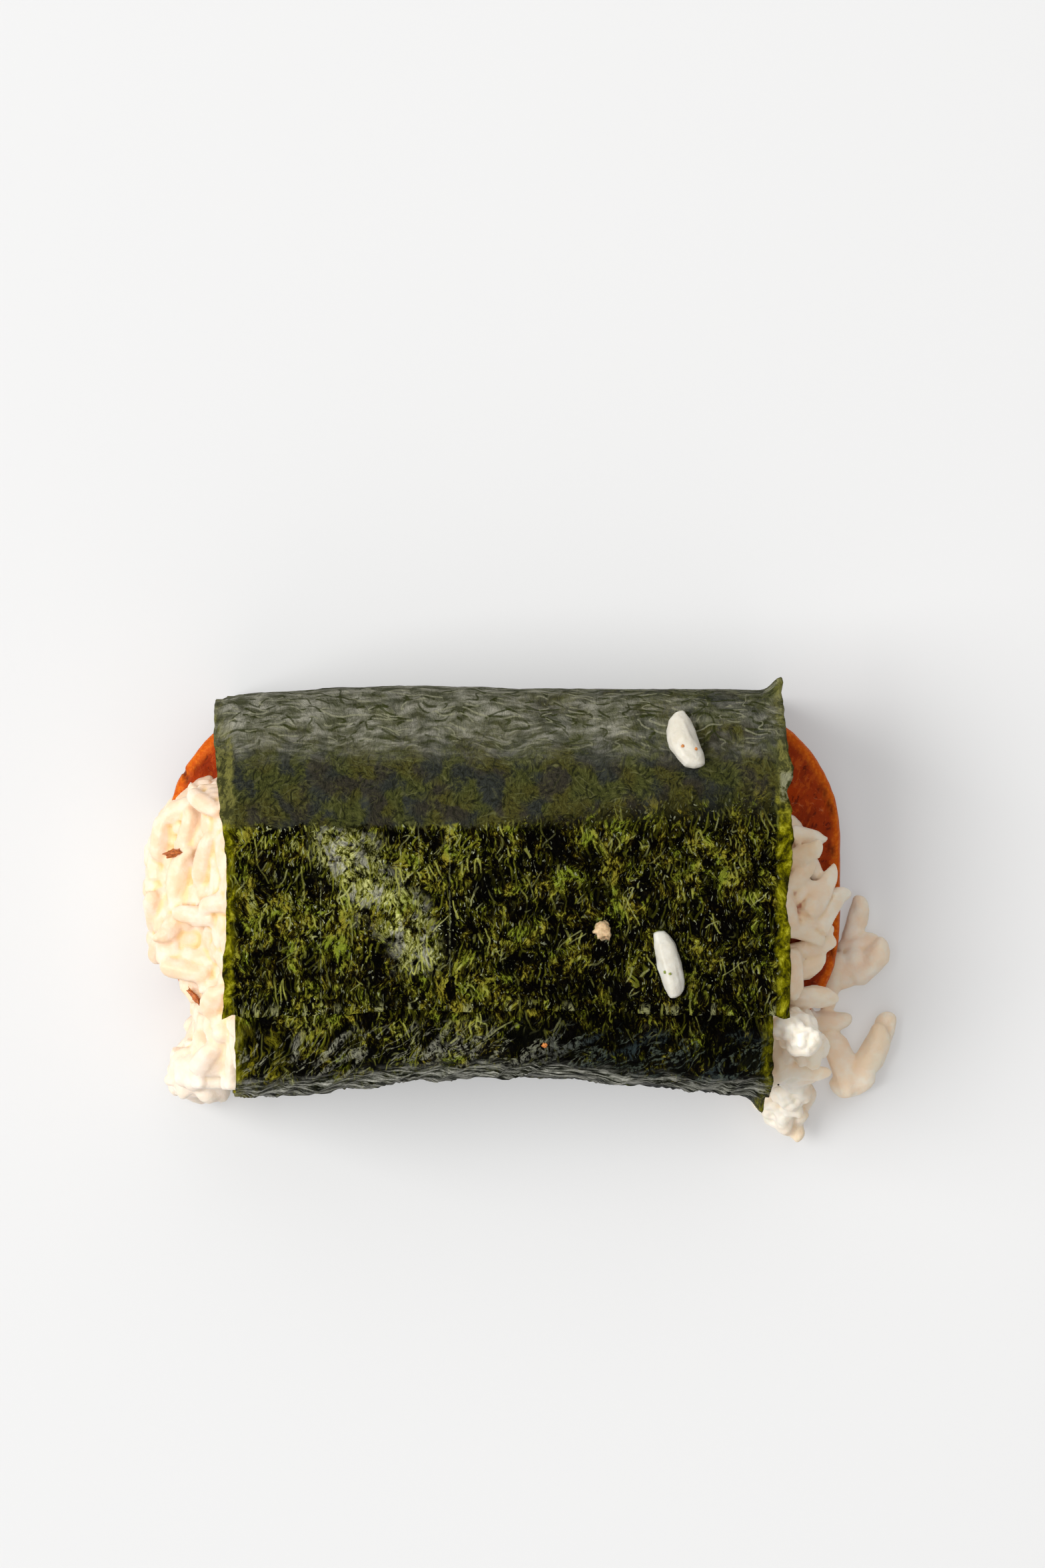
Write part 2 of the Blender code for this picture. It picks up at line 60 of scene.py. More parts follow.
# The slice, as the frame has it. Its middle seen from above is where X and Y start.
SLICE_LOW, SLICE_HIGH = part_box("luncheon_meat")
SLICE_LENGTH = SLICE_HIGH.x - SLICE_LOW.x
SLICE_WIDTH = SLICE_HIGH.y - SLICE_LOW.y
SLICE_BASE, SLICE_TOP = SLICE_LOW.z, SLICE_HIGH.z
SLICE_CORNER = 0.0187
SLICE_EDGE = 0.0013
SLICE_CORNER_STEPS = 16
SLICE_EDGE_STEPS = 3
SLICE_VOXEL = 0.00055
RIM_WIDTH, RIM_WAVE = 0.0013, 0.0005
PIT_SINK, WORN_OFF = 0.00035, 0.00018
PLACE = Vector(((SLICE_LOW.x + SLICE_HIGH.x) / 2, (SLICE_LOW.y + SLICE_HIGH.y) / 2, 0.0))

# The nori strip's middle line: a rounded rectangle in the Y-Z plane, lapped on top.
SOLID_NORI = 0.0005
NORI_THICKNESS = 0.00026
NEAR_DEPTH = 0.0265
FAR_DEPTH = 0.0258
NEAR_TOP_RADIUS = 0.0075
FAR_TOP_RADIUS = 0.0060
BOTTOM_RADIUS = 0.0016
INNER_END_Y = 0.0078
FLAP_END_Y = -0.0171
WRAP_TOP = 0.0324
LAP_STEP = SOLID_NORI + CLEARANCE
NORI_COLUMNS = 168
OFF_THE_GROUND = (0.002, 0.014)
FLAT_HALF = 0.010
NEAR_OUTLINE_X = [v * MM for v in (-38, -28, -20, -15, -5, 2, 10, 17, 26, 33, 38)]
NEAR_OUTLINE = [v * MM for v in (29.0, 28.6, 27.6, 26.9, 26.5, 26.4, 26.7, 27.6, 28.2, 28.8, 29.1)]
FAR_OUTLINE_X = [v * MM for v in (-38.5, -36, -12, 0, 13, 38)]
FAR_OUTLINE = [v * MM for v in (24.3, 25.1, 26.1, 25.8, 25.6, 25.4)]
SPIKE_SPREAD = 0.0016
CREASE_SLANT = 36.0
CREASE_START, CREASE_FADE = (0.0165, 0.020), 0.012
THIN_EDGE, THIN_EDGE_WAVE = 0.0017, 0.0011

# Waves of the nori: height, length and seed of each.
COCKLES = ((0.00042, 0.015, 1.0), (0.00022, 0.006, 4.0))
LEFT_FRAY = ((0.00020, 0.0012, 20.0), (0.00018, 0.0035, 21.0))
RIGHT_FRAY = ((0.00024, 0.0010, 22.0), (0.00020, 0.0030, 23.0))
END_FRAY = ((0.00042, 0.0017, 30.0), (0.00045, 0.009, 31.0))

# The rice block.
RICE_BASE = SLICE_TOP + CLEARANCE
RICE_TOP = 0.0312
RICE_HALF_DEPTH = 0.0249
RICE_SQUARENESS = 0.38
RICE_RING_SIDES = 44
RICE_RINGS = 24
CAP_SHARES = (0.15, 0.30, 0.46, 0.62, 0.74, 0.86, 0.94, 1.0)
CORE_SINK = 0.0007

# How far out its end faces stand at the top and at the foot, by how much the foot draws back
# at the near corner and where, and where the far part runs in under the nori.
LEFT_FACE = (0.0356, 0.0458, 0.0064, (0.0095, 0.0140), (0.0108, 0.0155))
RIGHT_FACE = (0.0352, 0.0386, 0.0012, (0.018, 0.024), (0.0060, 0.0095))
END_CURVE = 0.9
UNDER_NORI = 0.0345

# Its grains. A second lot covers the block between HARDLY_SEEN and COVERED.
COVERED, HARDLY_SEEN = 0.0340, 0.0316
WRAP_EDGE = 0.0385
GRAIN_LENGTH = 0.0082
GRAIN_WIDTH = 0.0030
GRAIN_THICKNESS = 0.0025
GRAIN_SIDES = 7
GRAIN_RINGS = 8
GRAIN_BLUNTNESS = 0.60
GRAIN_SQUARENESS, WHOLE_SQUARENESS = 3.2, 2.5
WHOLE_SIDES = 14
GRAIN_SINK = 0.0003
FACE_GRAIN_SINK = 0.0007
FACE_FAR_REACH = 0.0245
FACE_SPACING = 0.0026
FACE_TRIES = 5200
STEEPEST_LIE = 0.9
CEILING_AT_WRAP = 0.0290
CEILING_START = 0.0385
CEILING_FALL = 1.35
CEILING_AT_CORNER = 0.0280
CORNER_START = 0.019
NEAR_FALL = 1.75
FLOOR_HEAP = 0.0030
TUCKED = 0.0402
TUCK_TOP, TUCK_FAR = 0.0314, 0.0243
TUCKED_RELIEF = 0.00015
END_CUT, HEART_CUT = 0.0315, 0.0325
LEFT_VOXEL, RIGHT_VOXEL, WHOLE_VOXEL = 0.00031, 0.00028, 0.00016
RICE_ROUGHNESS, WHOLE_ROUGHNESS = 0.00008, 0.00013
SOFTENING_ROUNDS = 1
GAP_ROUNDS = 24
GAP_DEPTH = 0.00035
SEED = 13

# Colours of rice: at its least and most chalky, and the painted shade deep in its gaps. They are copies
# of one rice with painted light and shade: darker and yellower at the left end in the strongest light,
# paler at the right end in the wrap's shade, darkest on the grains lying in full light on the nori.
LIT_LEFT_TONES = (0.86, 0.635, 0.435), (0.92, 0.745, 0.600), (0.80, 0.54, 0.24)
SHADED_RIGHT_TONES = (0.97, 0.760, 0.570), (0.98, 0.870, 0.735), (0.42, 0.08, 0.02)
LIT_ON_NORI_TONES = (0.59, 0.56, 0.48), (0.67, 0.65, 0.58), (0.62, 0.54, 0.38)

# Slumped rice beside the slice: centre and radii in millimetres.
MOUNDS = (
    ((-41.0, -24.6, 4.0), (3.2, 6.2, 12.5)),
    ((-42.5, -26.9, 2.0), (4.2, 4.0, 7.5)),
    ((-45.2, -0.5, 3.0), (4.6, 11.5, 13.5)),
    ((39.6, -23.0, 5.0), (3.6, 6.5, 15.0)),
    ((39.8, -30.0, 2.0), (2.8, 5.5, 6.5)),
)

# Grains seen from above: X and Y in millimetres, heading in degrees, length, width.
FLOOR_GRAINS = (
    (45.6, -19.9, 0, 8.0, 3.0), (46.7, -14.6, 77, 9.0, 3.2), (50.4, -9.4, 10, 6.6, 3.2),
    (51.4, -11.6, 45, 8.6, 4.2), (49.8, -5.8, 72, 7.6, 3.1), (48.4, -13.6, 30, 6.0, 3.0),
    (49.4, -12.4, 60, 6.0, 3.8), (47.8, -26.0, -72, 10.2, 3.9), (51.4, -25.3, 61, 11.0, 4.3),
    (49.6, -28.4, 25, 7.0, 4.2), (54.2, -21.2, 80, 5.2, 3.2),
)
RIGHT_GRAINS = (
    (42.4, -2.6, 10, 7.5, 3.0), (42.6, -6.4, -12, 7.5, 3.0), (40.6, 7.6, -50, 4.2, 2.6),
    (42.7, 6.3, -13, 6.6, 2.8), (41.2, 4.7, -22, 5.6, 2.5), (42.9, 1.8, -55, 7.6, 2.9),
    (41.0, 0.6, 50, 7.6, 2.9), (41.4, -2.1, 35, 7.0, 3.0), (41.2, -5.3, -10, 6.6, 2.8),
    (41.6, -7.3, -15, 7.4, 2.9), (42.7, -9.4, 15, 8.2, 2.9), (42.1, -12.0, 25, 7.4, 2.8),
    (43.4, -16.4, 0, 7.4, 3.4), (42.4, -22.2, -30, 8.0, 3.2), (38.4, -26.8, 25, 6.4, 3.2),
    (42.0, -26.2, -10, 7.6, 2.8), (40.9, -29.0, -45, 7.4, 3.2), (39.5, -31.8, -20, 6.4, 3.4),
    (40.1, -34.2, -50, 7.0, 2.8), (44.3, -1.5, 60, 9.6, 3.0), (46.0, -4.2, 60, 8.2, 3.0),
    (41.8, 4.0, 25, 7.2, 3.0), (40.4, -12.6, -85, 8.8, 2.7), (39.9, -3.8, -70, 5.6, 2.4),
    (38.3, -23.6, 86, 7.4, 3.0), (43.3, -23.8, 78, 5.8, 2.8),
)
LEFT_GRAINS = (
    (-47.9, 3.4, 84, 8.6, 3.0), (-48.5, -4.4, 96, 8.0, 3.0), (-47.6, -8.8, 60, 7.6, 3.0),
    (-47.2, 6.2, 80, 8.4, 3.0), (-45.6, 4.4, 82, 8.0, 2.8), (-45.3, -8.6, -50, 7.0, 3.0),
    (-43.8, 9.9, 15, 7.0, 3.2), (-41.0, 11.0, -30, 7.0, 3.0), (-43.9, 6.5, 75, 8.4, 2.9),
    (-38.4, -25.6, 80, 7.0, 3.0), (-43.0, -14.0, -30, 4.8, 2.8), (-40.6, -16.6, 60, 6.4, 2.8),
    (-45.6, -5.2, 55, 8.8, 3.0), (-43.2, -15.0, -52, 5.8, 2.8), (-44.6, 0.9, 78, 8.8, 3.0),
    (-42.6, -4.6, -8, 8.0, 2.9), (-39.4, -3.3, 5, 7.2, 2.9), (-39.6, -18.6, 70, 7.0, 3.0),
    (-43.4, -28.6, 30, 6.8, 3.0), (-40.2, -28.6, -60, 6.4, 3.0), (-44.9, -25.8, 70, 7.2, 3.0),
    (-41.6, -27.4, 15, 7.6, 3.0), (-41.0, 3.0, 76, 9.6, 3.0), (-43.2, -11.1, -3, 8.4, 3.2),
    (-39.2, -14.8, -35, 6.8, 2.9), (-39.5, -21.2, 85, 7.8, 3.0), (-41.3, -24.6, 50, 7.4, 3.2),
    (-39.9, -16.6, 60, 7.0, 3.2), (-44.0, -12.2, -10, 7.6, 3.1),
)
NORI_GRAINS = ((24.9, 19.5, -70, 8.6, 4.0), (22.4, -10.85, -76, 9.4, 3.3))

# Lumps of broken grains: X, Y, how far they reach to the side, and height, in millimetres.
CLUMP_PIECES = 9
CLUMP_BIT = 0.62
CLUMPS = (
    (40.6, -20.6, 3.6, 11.0), (38.2, -19.8, 1.9, 4.0), (39.8, -30.2, 2.7, 3.6),
    (38.7, -33.1, 2.3, 3.0), (-38.9, -21.0, 2.5, 5.0), (-43.6, -26.6, 3.0, 4.0),
    (-41.0, -28.3, 3.2, 4.2),
)

# Narrow pits in this part of the left end are filled up to this depth with balls of this size.
PIT_GRID = 0.0006
PIT_REACH = 2
PIT_DEPTH = 0.0006
PIT_BALL = 0.0009
PIT_AREA = ((-0.054, -0.036), (-0.028, 0.018))

# The nori's own map runs in this unit, so that the whole strip fits in one square.
SHEET_UNIT = 0.25

# The camera looks straight down at a point beyond the middle of the slice.
CAMERA_PLACE = Vector((0.00267, 0.01356, 0.700))
LENS, SENSOR = 112.9, 36.0

# Lights that point at the middle of the frame: place, width, height, power, colour.
LIGHTS = {
    "window": ((-2.08, 0.16, 2.42), 2.4, 1.9, 103.0, (1.0, 0.995, 0.985)),
    "overhead": ((0.10, 0.05, 1.60), 1.6, 1.6, 8.5, (1.0, 1.0, 1.0)),
    "far_panel": ((0.05, 1.15, 1.10), 1.6, 1.0, 4.0, (1.0, 1.0, 1.0)),
    "near_panel": ((0.00, -1.15, 1.10), 1.6, 1.0, 2.0, (1.0, 1.0, 1.0)),
}
ROOM_LIGHT = 0.18
TABLE_HALF = 3.0


def smoothstep(low, high, value):
    share = min(max((value - low) / (high - low), 0.0), 1.0)
    return share * share * (3 - 2 * share)


def signed_power(value, power):
    return math.copysign(abs(value) ** power, value)


def piece_from(bm, name, shade_smooth=True):
    """Makes a finished piece of a bmesh that was modelled about the middle of the slice."""
    bmesh.ops.translate(bm, vec=PLACE, verts=bm.verts)
    mesh = bpy.data.meshes.new(name)
    bm.to_mesh(mesh)
    bm.free()
    if shade_smooth:
        mesh.shade_smooth()
    made = bpy.data.objects.new(name, mesh)
    bpy.context.scene.collection.objects.link(made)
    return made


def apply_modifiers(thing):
    """Keeps the evaluated mesh and drops the modifiers that made it."""
    graph = bpy.context.evaluated_depsgraph_get()
    mesh = bpy.data.meshes.new_from_object(thing.evaluated_get(graph))
    thing.modifiers.clear()
    thing.data = mesh


def remeshed(thing, voxel):
    """Gives a piece one closed surface with faces of an even size."""
    remesh = thing.modifiers.new("even faces", "REMESH")
    remesh.mode = "VOXEL"
    remesh.voxel_size = voxel
    apply_modifiers(thing)


# Materials


class Wire:
    """One socket of a material, used in sums as a number is."""

    def __init__(self, finish, socket):
        self.finish = finish
        self.socket = socket

    def math(self, operation, first, second=0.0):
        return self.finish.node("Math", {"operation": operation}, {0: first, 1: second})

    def __add__(self, other):
        return self.math("ADD", self, other)

    def __radd__(self, other):
        return self.math("ADD", other, self)

    def __sub__(self, other):
        return self.math("SUBTRACT", self, other)

    def __rsub__(self, other):
        return self.math("SUBTRACT", other, self)

    def __mul__(self, other):
        return self.math("MULTIPLY", self, other)

    def __rmul__(self, other):
        return self.math("MULTIPLY", other, self)

    def __truediv__(self, other):
        return self.math("DIVIDE", self, other)

    def __pow__(self, other):
        return self.math("POWER", self, other)

    def __abs__(self):
        return self.math("ABSOLUTE", self)

    def above(self, low, high):
        """Rises smoothly from 0 at low to 1 at high."""
        settings = {"interpolation_type": "SMOOTHSTEP"}
        return self.finish.node("MapRange", settings, {0: self, 1: low, 2: high, 3: 0.0, 4: 1.0})

    def below(self, low, high):
        """Falls smoothly from 1 at low to 0 at high."""
        return 1.0 - self.above(low, high)

    def at_most(self, other):
        return self.math("MINIMUM", self, other)

    def at_least(self, other):
        return self.math("MAXIMUM", self, other)


class Finish:
    """A material being made, with one method that adds any node to it."""

    def __init__(self, name):
        self.material = bpy.data.materials.new(name)
        self.material.use_nodes = True
        self.tree = self.material.node_tree
        self.shader = self.tree.nodes["Principled BSDF"]

    def node(self, kind, settings=None, sockets=None, output=0):
        """Adds a node: its settings first, then the values or wires of its sockets."""
        made = self.tree.nodes.new("ShaderNode" + kind)
        for name, value in (settings or {}).items():
            if name == "stops":
                self.set_stops(made.color_ramp, value)
            else:
                setattr(made, name, value)
        for name, value in (sockets or {}).items():
            self.plug(made.inputs[name], value)
        return Wire(self, made.outputs[output])

    def plug(self, socket, value):
        if isinstance(value, Wire):
            self.tree.links.new(value.socket, socket)
        else:
            socket.default_value = value

    def set_stops(self, ramp, stops):
        while len(ramp.elements) < len(stops):
            ramp.elements.new(1.0)
        for element, (position, colour) in zip(ramp.elements, stops):
            element.position = position
            element.color = (*colour, 1.0)

    def surface(self, **sockets):
        """Sets the shader's sockets, written with _ for a space."""
        for name, value in sockets.items():
            if isinstance(value, tuple) and len(value) == 3 and name.endswith("Color"):
                value = (*value, 1.0)
            self.plug(self.shader.inputs[name.replace("_", " ")], value)

    def object_place(self):
        """The point on the piece, in millimetres."""
        at = self.node("TexCoord", output=3)
        return self.stretch(at, (1 / MM,) * 3)

    def stretch(self, at, factors):
        return self.node("VectorMath", {"operation": "MULTIPLY"}, {0: at, 1: factors})

    def shift(self, at, step):
        return self.node("VectorMath", {"operation": "ADD"}, {0: at, 1: step})

    def turned(self, at, degrees):
        angle = (0.0, 0.0, math.radians(degrees))
        return self.node("Mapping", {"vector_type": "POINT"}, {"Vector": at, "Rotation": angle})

    def part_of(self, vector, index):
        return self.node("SeparateXYZ", sockets={0: vector}, output=index)

    def noise(self, at, scale, detail=2.0, roughness=0.5, distortion=0.0, flat=False, colour=False):
        settings = {"noise_dimensions": "2D" if flat else "3D"}
        sockets = {
            "Vector": at, "Scale": scale, "Detail": detail,
            "Roughness": roughness, "Distortion": distortion,
        }
        return self.node("TexNoise", settings, sockets, 1 if colour else 0)

    def cells(self, at, scale):
        return self.node("TexVoronoi", sockets={"Vector": at, "Scale": scale})

    def mix(self, share, low, high, blend="MIX"):
        """Colours low and high, mixed by share."""
        low = (*low, 1.0) if isinstance(low, tuple) else low
        high = (*high, 1.0) if isinstance(high, tuple) else high
        settings = {"data_type": "RGBA", "blend_type": blend}
        return self.node("Mix", settings, {0: share, 6: low, 7: high}, 2)

    def ramp(self, value, stops):
        return self.node("ValToRGB", {"stops": stops}, {0: value})

    def warp(self, at, scale, reach, flat=False):
        """Moves a point by a noise, up to about half of reach either way."""
        push = self.noise(at, scale, 2.0, 0.5, 0.0, flat, colour=True)
        push = self.shift(push, (-0.5, -0.5, -0.5))
        return self.shift(at, self.stretch(push, (reach,) * 3))

    def attribute(self, name):
        """A number that was stored on the piece's points."""
        return self.node("Attribute", {"attribute_name": name}, output=2)

    def bump(self, height, distance, strength):
        sockets = {"Strength": strength, "Distance": distance, "Height": height}
        return self.node("Bump", sockets=sockets)


class NoriFinish(Finish):
    """Pressed seaweed: hazy where it dried over the rice, dark, wet and fibrous elsewhere.

    It is worked out on the flat strip, x across it and place along it, in millimetres."""

    def __init__(self):
        super().__init__("nori")
        sheet = self.node("UVMap", {"uv_map": "sheet"})
        at = self.stretch(sheet, (SHEET_UNIT / MM, SHEET_UNIT / MM, 0.0))
        self.at = self.shift(at, (-SHEET_UNIT / MM / 2, 0.0, 0.0))
        self.x, self.place = self.part_of(self.at, 0), self.part_of(self.at, 1)
        self.top_start, self.top_end = ON_TOP_AGAIN / MM, STRIP_LENGTH / MM
        self.find_zones()
        self.lazy = self.warp(self.at, 0.13, 3.2, flat=True)
        self.curled = self.warp(self.lazy, 0.55, 1.1, flat=True)
        self.fine = self.mottle(self.curled, 2.3, 4.0, 0.74, 0.2, (1.0, 0.50))
        self.mass = self.mottle(self.curled, 0.48, 5.0, 0.64, 0.4, (1.0, 0.62))
        self.felt = self.mottle(self.curled, 1.7, 7.0, 0.76, 0.3)
        wet = self.fibrous(self.wet_ground())
        colour = self.mix(self.dry, wet, self.dry_sheet())
        colour = self.far_corner_sheen(colour)
        colour = self.creased(colour)
        colour = self.sheen_at_near_corner(colour)
        colour = self.folded(colour)
        colour = self.one_layer_thick(colour)
        roughness = 0.30 + 0.30 * self.dry + 0.16 * (self.felt - 0.4) + 0.10 * self.grazing_sheen
        relief = 0.55 * self.fine + 0.35 * self.mass + 0.12 * self.felt
        self.surface(
            Base_Color=colour, Roughness=roughness, Specular_IOR_Level=0.02,
            Normal=self.bump(relief, 0.0009, 1.0),
        )

    def mottle(self, at, scale, detail=2.0, roughness=0.5, distortion=0.0, drawn_out=None):
        """A noise over the flat sheet, which smaller numbers in drawn_out make longer."""
        if drawn_out:
            at = self.stretch(at, (*drawn_out, 0.0))
        return self.noise(at, scale, detail, roughness, distortion, flat=True)

    def fibres(self, at, turn, narrow, scale, width, keep, length):
        """Fine curved threads of an even width in millimetres, broken into lengths.

        They are where a drawn out noise passes its middle value, by its distance from there."""
        here, right, up = (
            self.mottle(self.turned(self.shift(at, step), turn), scale, 0.0, drawn_out=(1.0, narrow))
            for step in ((turn, 3.0, 0.0), (turn + 0.1, 3.0, 0.0), (turn, 3.1, 0.0))
        )
        slope = ((right - here) ** 2.0 + (up - here) ** 2.0) ** 0.5 * 10.0
        away = abs(here - 0.5) / slope.at_least(0.02)
        breaks = self.mottle(self.shift(at, (turn, 7.0 + narrow, 0.0)), length, 1.0)
        return away.below(width * 0.3, width * 0.6) * breaks.above(keep, keep + 0.06)

    def strewn(self, colour, at, share_there, rows, length=0.42, more=0.0):
        """Several kinds of fibres laid over a colour: heading, shape, how many and their tone."""
        for turn, narrow, scale, width, keep, share, tone in rows:
            lines = self.fibres(at, turn, narrow, scale, width, keep - more, length)
            colour = self.mix(lines * share_there * share, colour, tone)
        return colour

    def find_zones(self):
        """Where each look begins and ends along the strip."""
        x, place = self.x, self.place
        far_wall, near_wall, near_corner = FAR_SIDE / MM, NEAR_SIDE / MM, NEAR_CORNER / MM
        dry_end = self.top_start + (FAR_DEPTH - FAR_TOP_RADIUS - INNER_END_Y) / MM
        softness = 0.5 + 7.0 * x.above(-8.0, 34.0)
        ragged_place = place + 2.6 * (self.mottle(self.at, 0.9, 4.0, 0.6) - 0.5)
        self.past_dry = ragged_place.above(dry_end - softness, dry_end + 0.4)
        self.dry = (1.0 - self.past_dry) * place.above(far_wall - 16.0, far_wall)
        self.crest = place.below(self.top_start - 2.0, self.top_start + 4.5)
        self.crest = self.crest * place.above(far_wall + 6.0, far_wall + 13.0)
        self.near = place.below(near_wall + 14.0, near_wall + 20.0)
        self.turned_down = self.near * place.above(25.5, 29.0)
        drifting = place + 3.6 * (self.mottle(self.at, 0.16, 3.0) - 0.5)
        # Painted grazing sheen: a band where the strip rounds over onto the near wall.
        self.grazing_sheen = self.near * drifting.above(near_corner - 0.6, near_corner + 2.2)
        self.grazing_sheen = self.grazing_sheen * (1.0 - 0.88 * drifting.above(near_corner + 3.0, near_corner + 9.0))
        self.to_right = x.above(-8.0, 12.0)

    def wet_ground(self):
        """A brown-black ground, mottled olive and green where it is thin."""
        broad = self.mottle(self.at, 0.105, 2.0, 0.5, 0.2)
        level = 0.479 + 1.60 * (self.fine - 0.5) + 1.50 * (self.mass - 0.5) + 0.80 * (broad - 0.5)
        level = level - 0.07 * self.turned_down * (1.0 + 1.6 * self.to_right)
        level = level + 0.02 * self.x.below(-30.0, 0.0)
        wet = self.ramp(level, (
            (0.41, (0.0009, 0.0006, 0.0003)), (0.52, (0.0060, 0.0043, 0.0006)),
            (0.61, (0.0205, 0.0165, 0.0011)), (0.71, (0.0580, 0.0520, 0.0026)),
            (0.84, (0.2700, 0.2600, 0.0300)),
        ))
        hue = self.mottle(self.shift(self.at, (40.0, 0.0, 0.0)), 0.30, 2.0, 0.5, 0.3)
        wet = self.mix(hue.above(0.50, 0.64) * 0.7, wet, (0.72, 1.02, 0.70), "MULTIPLY")
        return self.mix(hue.below(0.38, 0.48) * 0.5, wet, (1.15, 0.92, 0.80), "MULTIPLY")

    def sheen_band(self):
        """Where the wet flap has a painted pale sheen, a slanting band to the left."""
        x, place, end = self.x, self.place, self.top_end
        line = (x + 17.6) * 0.749 + (place - (end - 16.0)) * -0.662
        line = line + 7.0 * (self.mottle(self.at, 0.20, 3.0) - 0.5)
        sheen_band = abs(line).below(0.8, 5.5) * x.above(-27.0, -23.0) * x.below(-10.0, -7.5)
        sheen_band = sheen_band * place.above(end - 25.5, end - 23.5) * place.below(end - 7.0, end - 4.0)
        return sheen_band * self.mottle(self.at, 0.36, 5.0, 0.66).above(0.38, 0.54)

    def sheen_band_tone(self):
        # Painted sheen: lime fibres and pale grey reflecting patches crossed by dark veins.
        lime = self.ramp(self.fine, (
            (0.39, (0.008, 0.008, 0.002)), (0.49, (0.160, 0.162, 0.015)),
            (0.58, (0.680, 0.680, 0.260)),
        ))
        sheen = self.mottle(self.curled, 0.42, 4.0, 0.62, 0.3, (1.0, 0.6)).above(0.50, 0.57)
        veins = abs(self.mottle(self.curled, 0.8, 3.0, 0.6, 0.0, (1.0, 0.55)) - 0.5)
        sheen = sheen * (0.35 + 0.65 * veins.above(0.004, 0.030))
        sheen = sheen * (0.45 + 0.55 * self.fine.above(0.36, 0.50))
        return self.mix(sheen * 0.85, lime, (0.520, 0.505, 0.410))

    def fibrous(self, wet):
        """Adds the painted sheen band, bright bits, painted wet highlights, curved fibres and painted
        glints, most of them to the left.
        """
        x, fine = self.x, self.fine
        sheen_band = self.sheen_band()
        wet = self.mix(sheen_band * 0.90, wet, self.sheen_band_tone())
        darker = self.turned_down * self.to_right
        swarm = self.mottle(self.lazy, 0.17, 3.0, 0.55, 0.3, (1.0, 0.70)).above(0.40, 0.60)
        swarm = swarm * (1.0 - 0.75 * darker) * (0.60 + 0.40 * x.below(-12.0, 8.0))
        bits = self.mottle(self.curled, 1.0, 3.0, 0.6, 0.2, (2.2, 0.95)).above(0.60, 0.66)
        bits = bits * self.mass.above(0.42, 0.56) * (0.25 + 0.65 * swarm)
        wet = self.mix(bits, wet, (0.190, 0.200, 0.020))
        combed = self.warp(self.at, 0.17, 2.8, flat=True)
        # Painted wet highlights: long lime and pale flakes, most of them to the left and in the sheen
        # band.
        wet_highlight_share = (0.35 * sheen_band + 0.65 * x.below(-14.0, 6.0)) * swarm.above(0.0, 0.7) * 0.85
        wisps = self.mottle(combed, 0.9, 3.0, 0.62, 0.2, (1.5, 0.30))
        dull_wisps = wisps.above(0.54, 0.64) * fine.above(0.40, 0.55)
        wet = self.mix(dull_wisps * wet_highlight_share, wet, (0.225, 0.230, 0.018))
        bright_wisps = wisps.above(0.62, 0.68) * fine.above(0.46, 0.58)
        wet = self.mix(bright_wisps * wet_highlight_share, wet, (0.480, 0.480, 0.180))
        threaded = (0.18 + 0.70 * swarm + 0.9 * sheen_band) * (1.0 - 0.8 * darker)
        wet = self.strewn(wet, combed, threaded.at_most(1.0), (
            (3.0, 0.28, 0.80, 0.30, 0.55, 0.55, (0.080, 0.081, 0.004)),
            (-16.0, 0.20, 0.72, 0.26, 0.57, 0.75, (0.220, 0.228, 0.018)),
            (12.0, 0.16, 0.66, 0.26, 0.58, 0.90, (0.430, 0.435, 0.090)),
            (-42.0, 0.22, 0.70, 0.20, 0.61, 0.80, (0.440, 0.445, 0.170)),
        ), 0.30, 0.05 * sheen_band)
        glints = self.mottle(self.curled, 1.6, 2.0, 0.5, 0.0, (2.2, 0.80)).above(0.68, 0.72)
        glints = glints * (0.25 + 0.75 * swarm) * self.place.above(self.top_start, self.top_start + 5.0)
        return self.mix(glints * 0.8, wet, (0.46, 0.48, 0.30))

    def dry_sheet(self):
        """Charcoal patches with soft borders in an olive felt."""
        slab = self.mottle(self.warp(self.at, 0.22, 5.0, flat=True), 0.26, 1.0, 0.4)
        slab = slab + 0.35 * (self.felt - 0.5)
        hue = self.mottle(self.at, 0.19, 1.0)
        charcoal = self.mix(hue.above(0.42, 0.58), (0.033, 0.036, 0.031), (0.040, 0.035, 0.025))
        olive = self.mix(hue.above(0.40, 0.62), (0.058, 0.063, 0.016), (0.070, 0.064, 0.014))
        dry = self.mix(slab.above(0.38, 0.57), charcoal, olive)
        felted = 0.35 + 0.65 * slab.above(0.40, 0.54)
        dry = self.mix(self.felt.below(0.38, 0.50) * 0.80, dry, (0.012, 0.013, 0.007))
        dry = self.mix(self.felt.above(0.53, 0.66) * felted * 0.8, dry, (0.112, 0.114, 0.034))
        return self.strewn(dry, self.curled, felted, (
            (20.0, 0.50, 0.60, 0.20, 0.52, 0.50, (0.110, 0.112, 0.036)),
            (78.0, 0.45, 0.55, 0.20, 0.53, 0.60, (0.135, 0.135, 0.052)),
            (-50.0, 0.45, 0.60, 0.20, 0.53, 0.50, (0.110, 0.112, 0.036)),
            (-20.0, 0.45, 0.60, 0.30, 0.50, 0.70, (0.009, 0.010, 0.005)),
        ))

